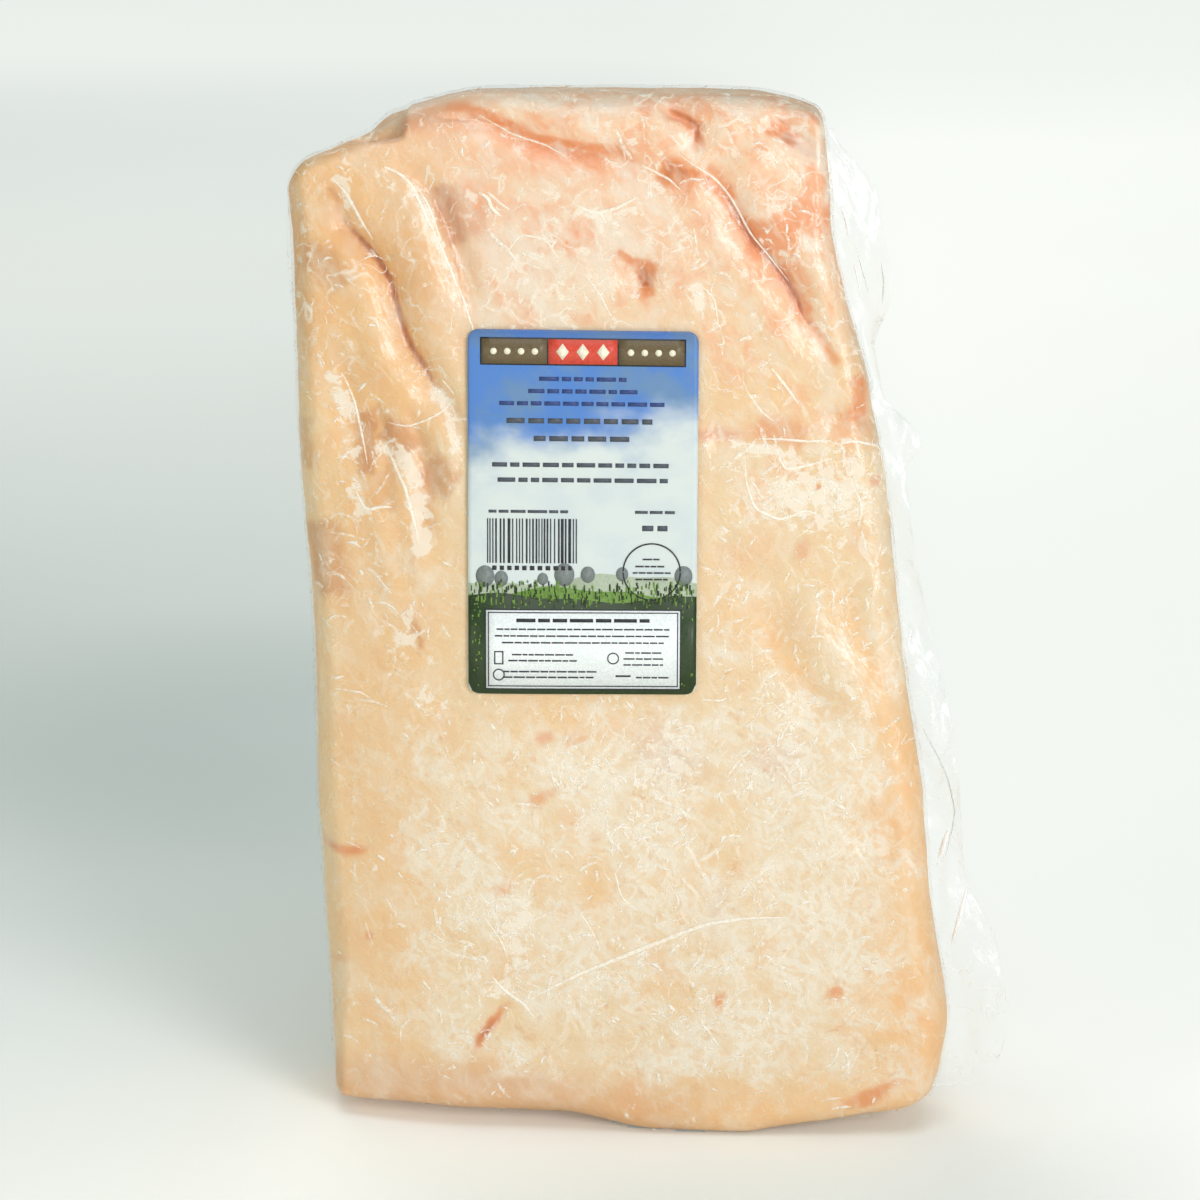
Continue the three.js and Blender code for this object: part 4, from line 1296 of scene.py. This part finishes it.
def flowing_path(run, spacing=1.0):
    """A smooth curve through a run of points, with points about the given distance apart."""
    run = np.array(run, float)
    along = np.concatenate([[0], np.cumsum(np.hypot(*np.diff(run, axis=0).T))])
    count = max(5, int(along[-1] / spacing) + 2)
    places = np.linspace(0, along[-1], count)
    straight = np.stack([np.interp(places, along, run[:, axis]) for axis in (0, 1)], 1)
    for _ in range(3):
        straight[1:-1] = 0.25 * straight[:-2] + 0.5 * straight[1:-1] + 0.25 * straight[2:]
    return straight


IN_FRONT = -200  # creases are cast onto the film from here
CREASE_ROOT = 0.12  # how far their sides reach into it


def crease_ridge(path, width, surface, height_share):
    """A low ridge along a path, laid on a surface: pointed at both ends, three points across."""
    hits = []
    for x, z in path:
        place, normal, _, _ = surface.ray_cast(Vector((x * MM, IN_FRONT * MM, z * MM)), Vector((0, 1, 0)))
        if place is None:
            return [], [], []
        hits.append((np.array(place) / MM, np.array(normal)))
    points, faces, crest = [], [], []
    last = len(hits) - 1
    for n, (place, normal) in enumerate(hits):
        if n in (0, last):
            points.append(place)
            crest.append(0)
            continue
        along = hits[n + 1][0] - hits[n - 1][0]
        across = np.cross(normal, along)
        across /= np.linalg.norm(across) + 1e-9
        half = width / 2 * math.sin(math.pi * n / last) ** 0.6
        points.append(place - across * half - normal * CREASE_ROOT)
        points.append(place + normal * half * height_share)
        points.append(place + across * half - normal * CREASE_ROOT)
        crest += [0, 1, 0]
    for n in range(1, last - 1):
        at = 1 + (n - 1) * 3
        for side in range(3):
            other = (side + 1) % 3
            faces.append((at + side, at + other, at + 3 + other, at + 3 + side))
    first, final = 1, 1 + (last - 2) * 3
    tip = len(points) - 1
    for side in range(3):
        other = (side + 1) % 3
        faces.append((0, first + other, first + side))
        faces.append((tip, final + side, final + other))
    return points, faces, crest


def add_creases(name, paths, surface, material, height_share=0.25):
    """All the creases of one kind in one piece."""
    points, faces, crest = [], [], []
    for path, width, strength in paths:
        new_points, new_faces, new_crest = crease_ridge(path, width, surface, height_share)
        start = len(points)
        points += new_points
        crest += [strength * share for share in new_crest]
        faces += [tuple(start + v for v in face) for face in new_faces]
    creases = add_piece(name, points, faces, material, "vacuum_pack")
    clear_to_light(creases)
    paint(creases, "crest", crest)


def surface_of(name):
    mesh = bpy.data.objects[name].data
    return BVHTree.FromPolygons([v.co for v in mesh.vertices], [p.vertices for p in mesh.polygons])


class BELLY_OT_creases(bpy.types.Operator):
    """Makes the sharp little creases of the film"""
    bl_idname = "belly.add_creases"
    bl_label = "Film creases"

    def execute(self, context):
        settings = context.scene.belly_film
        film = surface_of("film_skin")
        add_creases("film_creases", crease_paths(settings.crinkles, settings.seed), film,
                    crease_finish("film_crease", tone(247, 238, 222), 0.2, 0.9), 0.14)
        long_paths = [(flowing_path(run), width, 0.9) for run, width in LONG_CREASES]
        add_creases("film_long_creases", long_paths, film,
                    crease_finish("film_long_crease", tone(252, 242, 224), 0.7, 1.0))
        loose = surface_of("film_margin_right")
        for name, runs, colour in (("margin_glints", MARGIN_GLINTS, tone(255, 255, 255)),
                                   ("margin_folds", MARGIN_FOLDS, tone(212, 218, 215))):
            paths = [(flowing_path(run), width, 0.9) for run, width in runs]
            add_creases(name, paths, loose, crease_finish(name, colour, 0.5, 0.95))
        return {"FINISHED"}


# ---------------------------------------------------------------- the label


def label_bed(x, z):
    """The skin side at rest, which the label lies on."""
    return skin_face(x, z) - broad_swell(x, z)


def on_label(u, v, lift):
    """A point in front of the label's paper: u across and v up from its middle, lifted off its face."""
    x, z = LABEL["x"] + u, LABEL["z"] + v
    y = label_bed(x, z) - LABEL["gap"] - LABEL["thick"] - lift
    return np.stack([x, y, z], -1)


def label_sheet():
    """The paper with round corners, as a thin sheet."""
    half = np.array([LABEL["width"] / 2, LABEL["height"] / 2])
    u, v = np.meshgrid(np.linspace(-1, 1, 49), np.linspace(-1, 1, 77))
    at = np.stack([u, v], -1) * half
    core = half - LABEL["corner"]
    inner = np.clip(at, -core, core)
    out = at - inner
    length = np.linalg.norm(out, axis=-1, keepdims=True)
    out = np.where(length > LABEL["corner"], out * LABEL["corner"] / np.maximum(length, 1e-9), out)
    at = inner + out
    front = on_label(at[..., 0], at[..., 1], 0.0)
    return front, front + np.array([0, LABEL["thick"], 0])


def label_finish(settings):
    """Paper with an upper field of blue that fades through cloudy white to pale."""
    finish = Finish("label_paper")
    place = finish.place()
    across, _, height = finish.add("ShaderNodeSeparateXYZ", {"Vector": place}).outputs
    cloud = finish.noise(finish.stretched(place, (0, 0, 0), (1, 1, 0.7)), 15, 4)
    drift = finish.times(finish.maths("SUBTRACT", cloud, 0.5), 0.03)
    tilt = finish.times(across, -0.18)
    level = finish.plus(finish.plus(height, drift), tilt)
    top = (LABEL["z"] + LABEL["height"] / 2) * MM
    blue = finish.ranged(level, top - 0.036, top - 0.016)
    deep = finish.ranged(height, top - 0.006, top, 0.0, 0.35)
    murky = finish.ranged(finish.noise(place, 14, 4), 0.42, 0.62, 0.0, 0.85)
    sky = finish.mixed(murky, tuple(settings.sky), tone(110, 144, 178))
    veil = finish.ranged(cloud, 0.4, 0.66, 0.0, 0.3)
    colour = finish.mixed(blue, finish.mixed(veil, tuple(settings.paper), tone(190, 206, 212)), sky)
    colour = finish.mixed(deep, colour, tone(58, 78, 140))
    fibre = finish.noise(place, 0.7, 3)
    shader = finish.add("ShaderNodeBsdfPrincipled", {
        "Base Color": colour,
        "Roughness": finish.ranged(fibre, 0.3, 0.7, 0.34, 0.5, "LINEAR"),
        "Normal": finish.bumped(finish.plus(fibre, finish.noise(place, 14, 2)), 0.15, 0.2),
    })
    return finish.done(shader)


def ink_finish(name, colour):
    """Printing ink with a faint unevenness."""
    finish = Finish(name)
    place = finish.place()
    grain = finish.noise(place, 0.6, 2)
    lighter = tuple(min(1.0, c * 1.15 + 0.01) for c in colour)
    shader = finish.add("ShaderNodeBsdfPrincipled", {
        "Base Color": finish.mixed(finish.ranged(grain, 0.35, 0.65), colour, lighter),
        "Roughness": finish.ranged(grain, 0.3, 0.7, 0.35, 0.5, "LINEAR"),
        "Normal": finish.bumped(grain, 0.1, 0.05),
    })
    return finish.done(shader)


class Print:
    """Flat printed shapes of one ink, each a thin closed strip on the label."""

    THICK = 0.03
    STEP = 3.0
    FIRST_LIFT = 0.02
    LAYER_LIFT = 0.035
    ROOT = 0.05  # how far each shape reaches back into the paper

    def __init__(self):
        self.points, self.faces = [], []

    def strip(self, u, top, bottom, layer):
        """A shape between two lines over the same places across the label."""
        u, top, bottom = (np.asarray(values, float) for values in (u, top, bottom))
        self.lay(np.stack([u, u]), np.stack([bottom, top]), layer)

    def lay(self, grid_u, grid_v, layer):
        """Adds a thin closed sheet over the given places of the label."""
        lift = self.FIRST_LIFT + self.LAYER_LIFT * layer
        points, faces = thin_sheet(
            on_label(grid_u, grid_v, lift + self.THICK), on_label(grid_u, grid_v, lift - self.ROOT))
        start = len(self.points)
        self.points += points.tolist()
        self.faces += [tuple(start + v for v in face) for face in faces]

    def box(self, u, v, width, height, layer=1, bow=0.0):
        """An upright rectangle with its middle at (u, v). Bow turns its ends into points or curves."""
        count = max(2, int(width / self.STEP) + 2)
        across = np.linspace(-1, 1, count)
        half = height / 2 * (1 - bow * across ** 2)
        self.strip(u + across * width / 2, v + half, v - half, layer)

    def disc(self, u, v, radius, layer=1, stretch=1.0):
        angle = np.linspace(math.pi - 0.06, 0.06, 25)
        half = radius * stretch * np.sin(angle)
        self.strip(u + radius * np.cos(angle), v + half, v - half, layer)

    def ring(self, u, v, radius, width, layer=1):
        """A round line, made of short upright slices of its upper and lower halves."""
        for start, end in ((math.pi - 0.02, 0.02), (-math.pi + 0.02, -0.02)):
            angle = np.linspace(start, end, 41)
            outer_u = u + (radius + width / 2) * np.cos(angle)
            outer_v = v + (radius + width / 2) * np.sin(angle)
            inner_u = u + (radius - width / 2) * np.cos(angle)
            inner_v = v + (radius - width / 2) * np.sin(angle)
            self.between((outer_u, outer_v), (inner_u, inner_v), layer, flipped=start < 0)

    def between(self, first, second, layer, flipped=False):
        """A shape between two free lines with the same number of points."""
        grid_u = np.stack([second[0], first[0]])
        grid_v = np.stack([second[1], first[1]])
        if flipped:
            grid_u, grid_v = grid_u[::-1], grid_v[::-1]
        self.lay(grid_u, grid_v, layer)

    def frame(self, u, v, width, height, line, layer=1):
        for side in (-1, 1):
            self.box(u, v + side * (height - line) / 2, width, line, layer)
            self.box(u + side * (width - line) / 2, v, line, height - 2 * line, layer)

    def row(self, u, v, width, height, draw, layer=1, words=(2.2, 5.5)):
        """A line of short dashes in place of words, as wide as given."""
        at = -width / 2
        while at < width / 2 - 0.8:
            length = min(draw.uniform(*words), width / 2 - at)
            self.box(u + at + length / 2, v, length, height, layer)
            at += length + height * 0.75

    def add(self, name, finish):
        return add_piece(name, self.points, self.faces, finish, "label")


# Dashes in place of lines of words: height above the middle, width, letter height, middle.
ROWS = (
    (37.4, 24, 1.1, 0), (34.0, 30, 1.1, 0), (30.6, 46, 1.1, 0),
    (25.8, 42, 1.4, 0), (20.9, 27, 1.4, 0),
    (13.6, 50, 1.2, 0), (9.4, 47, 1.2, 0),
    (0.6, 22, 0.8, -15), (0.6, 11, 0.8, 20), (-3.9, 7, 1.5, 20),
)


BAND_LEVEL = 44.9  # middle of the band at the top
PANEL = (0.2, -38.1)  # middle of the framed panel


def hill(print_layer, level, swell, phase, layer, low):
    """A rolling line of ground from edge to edge of the label."""
    edge = LABEL["width"] / 2 - 0.05
    u = np.linspace(-edge, edge, 60)
    top = level + swell * np.sin(u / 9.5 + phase) + 0.4 * swell * np.sin(u / 3.7 + 2 * phase)
    bottom = np.full(u.shape, low)
    corner = LABEL["corner"]
    inset = np.clip(np.abs(u) - (edge - corner), 0, corner)
    bottom = bottom + corner - np.sqrt(np.maximum(corner ** 2 - inset ** 2, 0))
    print_layer.strip(u, top, bottom, layer)


class BELLY_OT_label(bpy.types.Operator):
    """Makes the paper label and its plain print"""
    bl_idname = "belly.add_label"
    bl_label = "Label"

    def execute(self, context):
        settings = context.scene.belly_label
        points, faces = thin_sheet(*label_sheet())
        add_piece("label_sheet", points, faces, label_finish(settings), "label")
        draw = np.random.default_rng(7)
        low = -LABEL["height"] / 2 + 0.05

        haze, meadow, field, shade = Print(), Print(), Print(), Print()
        hill(haze, -18.5, 1.6, 0.4, 0, low)
        hill(meadow, -22.0, 1.3, 2.1, 1, low)
        hill(field, -23.6, 1.0, 4.0, 2, low)
        for u, size in ((-27, 2.6), (-22.5, 1.9), (-11, 1.5), (-5, 2.8), (1.5, 2.0), (11, 1.7), (28, 2.5)):
            shade.disc(u, -18.6 + 0.8 * math.sin(u / 9.5 + 0.4) + size * 0.6, size, 1, 1.15)
        for _ in range(420):
            u, v = draw.uniform(-30.8, 30.8), draw.uniform(-48.8, -24.5)
            if abs(u) > 27.6 or v > -26.6:
                meadow.box(u, v, draw.uniform(0.25, 0.5), draw.uniform(0.8, 2.2), 3, bow=0.6)
        haze.add("print_far_hill", ink_finish("ink_pale_green", tone(176, 188, 160)))
        for _ in range(330):
            u, top = draw.uniform(-31, 31), draw.uniform(-23.4, -17.8)
            tall = draw.uniform(1.8, 5.0)
            ground = field if draw.uniform() < 0.6 else meadow
            ground.box(u, top - tall / 2, draw.uniform(0.25, 0.5), tall, 3, bow=0.6)
        meadow.add("print_meadow", ink_finish("ink_leaf_green", tone(108, 146, 52)))
        field.add("print_field", ink_finish("ink_dark_green", tuple(settings.field)))
        shade.add("print_bushes", ink_finish("ink_grey_green", tone(120, 128, 124)))

        brown, red, cream, dark, panel = Print(), Print(), Print(), Print(), Print()
        dark.box(0, BAND_LEVEL, 56.6, 7.6, 1)
        brown.box(-18.9, BAND_LEVEL, 18.0, 6.8, 2)
        brown.box(18.9, BAND_LEVEL, 18.0, 6.8, 2)
        red.box(0, BAND_LEVEL, 19.0, 6.8, 2)
        for u in (-5.6, 0, 5.6):
            cream.box(u, BAND_LEVEL, 3.4, 4.6, 4, bow=0.97)
        for side in (-1, 1):
            for n in range(4):
                cream.disc(side * (13.2 + 3.8 * n), BAND_LEVEL, 0.9, 4)

        panel.box(*PANEL, 54.0, 22.2, 3)
        dark.frame(*PANEL, 54.6, 22.8, 0.35, 4)
        dark.frame(*PANEL, 52.9, 21.1, 0.3, 4)
        dark.row(0.2, -29.9, 37, 1.0, draw, 4, (3.2, 6.5))
        for v, width in ((-32.4, 48), (-34.3, 49), (-36.2, 45)):
            dark.row(0.2, v, width, 0.42, draw, 4, (1.4, 3.6))
        for u, v, width in ((-11, -39.6, 17), (-11, -41.3, 19), (-9, -44.4, 26), (-9, -46.0, 26), (17, -39.0, 10),
                            (17, -40.7, 11), (17, -42.4, 11), (19.5, -46.0, 9)):
            dark.row(u, v, width, 0.42, draw, 4, (1.2, 3.2))
        dark.frame(-23.2, -40.5, 2.6, 3.8, 0.35, 4)
        dark.ring(-23.2, -45.3, 1.5, 0.35, 4)
        dark.ring(8.6, -40.6, 1.5, 0.35, 4)
        dark.box(11.4, -45.6, 4.2, 0.5, 4)

        navy, grey = Print(), Print()
        for v, width, height, u in ROWS:
            (navy if v > 28 else grey).row(u, v, width, height, draw, 1)
        at = -26.4
        while at < -1.8:
            width = draw.choice([0.3, 0.45, 0.75])
            dark.box(at + width / 2, -7.6, width, 12.4, 2)
            at += width + draw.choice([0.35, 0.5, 0.8])
        dark.row(-14, -15.2, 22, 1.2, draw, 2, (1.0, 1.3))
        dark.ring(19.2, -16.1, 7.9, 0.4, 3)
        for v, width in ((-12.6, 5), (-14.6, 9), (-16.4, 10.5), (-18.2, 9)):
            dark.row(19.2, v, width, 0.4, draw, 3, (1.2, 3.0))
        brown.add("print_band", ink_finish("ink_brown", tone(104, 88, 58)))
        red.add("print_band_middle", ink_finish("ink_red", tone(214, 72, 52)))
        cream.add("print_motifs", ink_finish("ink_cream", tone(240, 232, 206)))
        dark.add("print_dark", ink_finish("ink_dark", tuple(settings.ink)))
        navy.add("print_upper_rows", ink_finish("ink_navy", tone(44, 66, 122)))
        grey.add("print_rows", ink_finish("ink_grey", tone(74, 80, 88)))
        panel.add("print_panel", ink_finish("ink_white", tone(236, 243, 238)))
        return {"FINISHED"}


# ---------------------------------------------------------------- stage


class BELLY_OT_stage(bpy.types.Operator):
    """Makes the camera, the lights and the pale floor"""
    bl_idname = "belly.set_stage"
    bl_label = "Studio"

    def execute(self, context):
        settings = context.scene.belly_studio
        place_camera(settings)
        add_floor()
        add_lights()
        return {"FINISHED"}


AIM = Vector((-13.2, -18.63, 155.28)) * MM


def place_camera(settings):
    """The camera looks at the slab from a little above and to the right."""
    az, el = settings.azimuth, settings.elevation
    forward = Vector((-math.sin(az) * math.cos(el), math.cos(az) * math.cos(el), -math.sin(el)))
    data = bpy.data.cameras.new("camera")
    data.lens = settings.lens
    data.sensor_width = 36
    data.sensor_height = 36
    data.sensor_fit = "HORIZONTAL"
    data.clip_start = 0.05
    data.clip_end = 20
    camera = in_scene("camera", data)
    camera.location = AIM - forward * settings.distance
    camera.rotation_euler = forward.to_track_quat("-Z", "Y").to_euler()
    bpy.context.scene.camera = camera


FLOOR = dict(reach=7000, rings=40, sides=72)
# where the floor's painted glow is less, as painted shade round the foot and a painted shadow behind the slab at the
# left, in metres: middle, radius, by how much
FLOOR_DIMMED = (
    ((0.05, -0.09, 0.0), 0.16, 0.22),
    ((-0.13, 0.36, 0.0), 0.22, 0.1),
)


def floor_glow(finish, place):
    """How much the paper shines of itself, a painted light: more and more as it runs off, and least round the foot and
    in a painted shadow behind the slab at the left.
    """
    parts = finish.add("ShaderNodeSeparateXYZ", {"Vector": place})
    across, away = parts.outputs["X"], parts.outputs["Y"]
    left = finish.plus(finish.ranged(away, -0.15, 0.15, 0.24, 0.08, "LINEAR"),
                      finish.ranged(away, 0.5, 2.4, 0.0, 0.6, "LINEAR"))
    right = finish.plus(finish.ranged(away, -0.1, 0.2, 0.28, 0.32, "LINEAR"),
                       finish.ranged(away, 0.2, 1.9, 0.0, 0.4, "LINEAR"))
    share = finish.ranged(across, -0.12, 0.13)
    glow = finish.plus(finish.times(right, share),
                      finish.times(left, finish.maths("SUBTRACT", 1.0, share)))
    for middle, size, dimmed in FLOOR_DIMMED:
        off = finish.add("ShaderNodeVectorMath", {0: place, 1: middle}, operation="DISTANCE").outputs["Value"]
        glow = finish.maths("SUBTRACT", glow, finish.ranged(off, 0.2 * size, size, dimmed, 0.0))
    return glow


def floor_finish():
    """Pale matt paper with a faint tooth, with a soft painted glow where it runs off behind the slab."""
    finish = Finish("floor_paper")
    place = finish.place()
    tooth = finish.noise(place, 2.0, 4)
    cloud = finish.noise(place, 300, 2)
    pale = finish.mixed(finish.ranged(cloud, 0.3, 0.7), tone(249, 250, 243), tone(251, 252, 246))
    shader = finish.add("ShaderNodeBsdfPrincipled", {
        "Base Color": pale,
        "Roughness": finish.ranged(tooth, 0.3, 0.7, 0.8, 0.95, "LINEAR"),
        "Normal": finish.bumped(tooth, 0.1, 0.1),
        "Specular IOR Level": 0.2,
        # Painted light: the floor glows of itself by the painted amount, less in its painted shadows.
        "Emission Color": (1.0, 0.93, 0.87, 1.0),
        "Emission Strength": floor_glow(finish, place),
    })
    return finish.done(shader)


def add_floor():
    """One round floor that reaches past the horizon of every view, so nothing stands behind the slab."""
    points, faces = [(0, 0, 0)], []
    sides = FLOOR["sides"]
    for ring in range(1, FLOOR["rings"] + 1):
        radius = FLOOR["reach"] * (ring / FLOOR["rings"]) ** 2
        for side in range(sides):
            angle = 2 * math.pi * side / sides
            points.append((radius * math.cos(angle), radius * math.sin(angle), 0))
    for side in range(sides):
        after = (side + 1) % sides
        faces.append((0, 1 + side, 1 + after))
        for ring in range(FLOOR["rings"] - 1):
            inner, outer = 1 + ring * sides, 1 + (ring + 1) * sides
            faces.append((inner + side, outer + side, outer + after, inner + after))
    mesh = bpy.data.meshes.new("studio_floor")
    mesh.from_pydata([(x * MM, y * MM, z * MM) for x, y, z in points], [], faces)
    mesh.materials.append(floor_finish())
    floor = in_scene("studio_floor", mesh)


# name, place in metres, aim in metres, size in metres, power in watts, colour
LIGHTS = (
    ("key_light", (0.85, -1.2, 0.62), (0.0, 0.0, 0.12), 0.7, 12.1, (1.0, 0.94, 0.99)),
    ("left_light", (-1.3, -0.9, 0.5), (0.0, 0.0, 0.12), 1.0, 5.0, (1.0, 0.88, 0.72)),
    ("top_light", (0.15, -0.45, 1.6), (0.0, 0.0, 0.12), 1.0, 7.0, (1.0, 0.97, 0.99)),
    ("back_light", (-0.5, 1.3, 1.1), (0.0, 0.0, 0.14), 1.0, 4.2, (1.0, 0.91, 0.85)),
)
SKY = (0.13, 0.22, 0.235)
LIGHT_PATHS = dict(
    max_bounces=6, diffuse_bounces=2, glossy_bounces=2, transparent_max_bounces=10,
    caustics_reflective=False, caustics_refractive=False)


def add_lights():
    for name, place, aim, size, power, colour in LIGHTS:
        data = bpy.data.lights.new(name, "AREA")
        data.shape = "DISK"
        data.size = size
        data.energy = power
        data.color = colour
        light = in_scene(name, data)
        light.location = place
        light.rotation_euler = (Vector(aim) - Vector(place)).to_track_quat("-Z", "Y").to_euler()
    world = bpy.data.worlds.new("studio_air")
    bpy.context.scene.world = world
    world.use_nodes = True
    background = world.node_tree.nodes["Background"]
    background.inputs["Color"].default_value = (*SKY, 1)
    background.inputs["Strength"].default_value = 1.0
    for name, value in LIGHT_PATHS.items():
        setattr(bpy.context.scene.cycles, name, value)
    bpy.context.scene.view_settings.view_transform = "Standard"
    bpy.context.scene.view_settings.look = "None"


# ---------------------------------------------------------------- panel, registration, run


class BELLY_PT_panel(bpy.types.Panel):
    """Lists the pieces of the slab"""
    bl_idname = "BELLY_PT_panel"
    bl_label = "Pork belly slab"
    bl_space_type = "VIEW_3D"
    bl_region_type = "UI"
    bl_category = "Pork belly"

    def draw(self, context):
        for operator in OPERATORS:
            self.layout.operator(operator.bl_idname)
        for name, group in SETTINGS.items():
            box = self.layout.box()
            box.label(text=group.__name__)
            for setting in group.__annotations__:
                box.prop(getattr(context.scene, name), setting)


OPERATORS = (
    BELLY_OT_stage, BELLY_OT_slab, BELLY_OT_film, BELLY_OT_margins, BELLY_OT_creases, BELLY_OT_label)


def register():
    for cls in (*SETTINGS.values(), *OPERATORS, BELLY_PT_panel):
        bpy.utils.register_class(cls)
    for name, group in SETTINGS.items():
        setattr(bpy.types.Scene, name, bpy.props.PointerProperty(type=group))


def unregister():
    for name in SETTINGS:
        delattr(bpy.types.Scene, name)
    for cls in (BELLY_PT_panel, *OPERATORS[::-1], *list(SETTINGS.values())[::-1]):
        bpy.utils.unregister_class(cls)


def main():
    register()
    for operator in OPERATORS:
        group, name = operator.bl_idname.split(".")
        getattr(getattr(bpy.ops, group), name)()


if __name__ == "__main__":
    main()
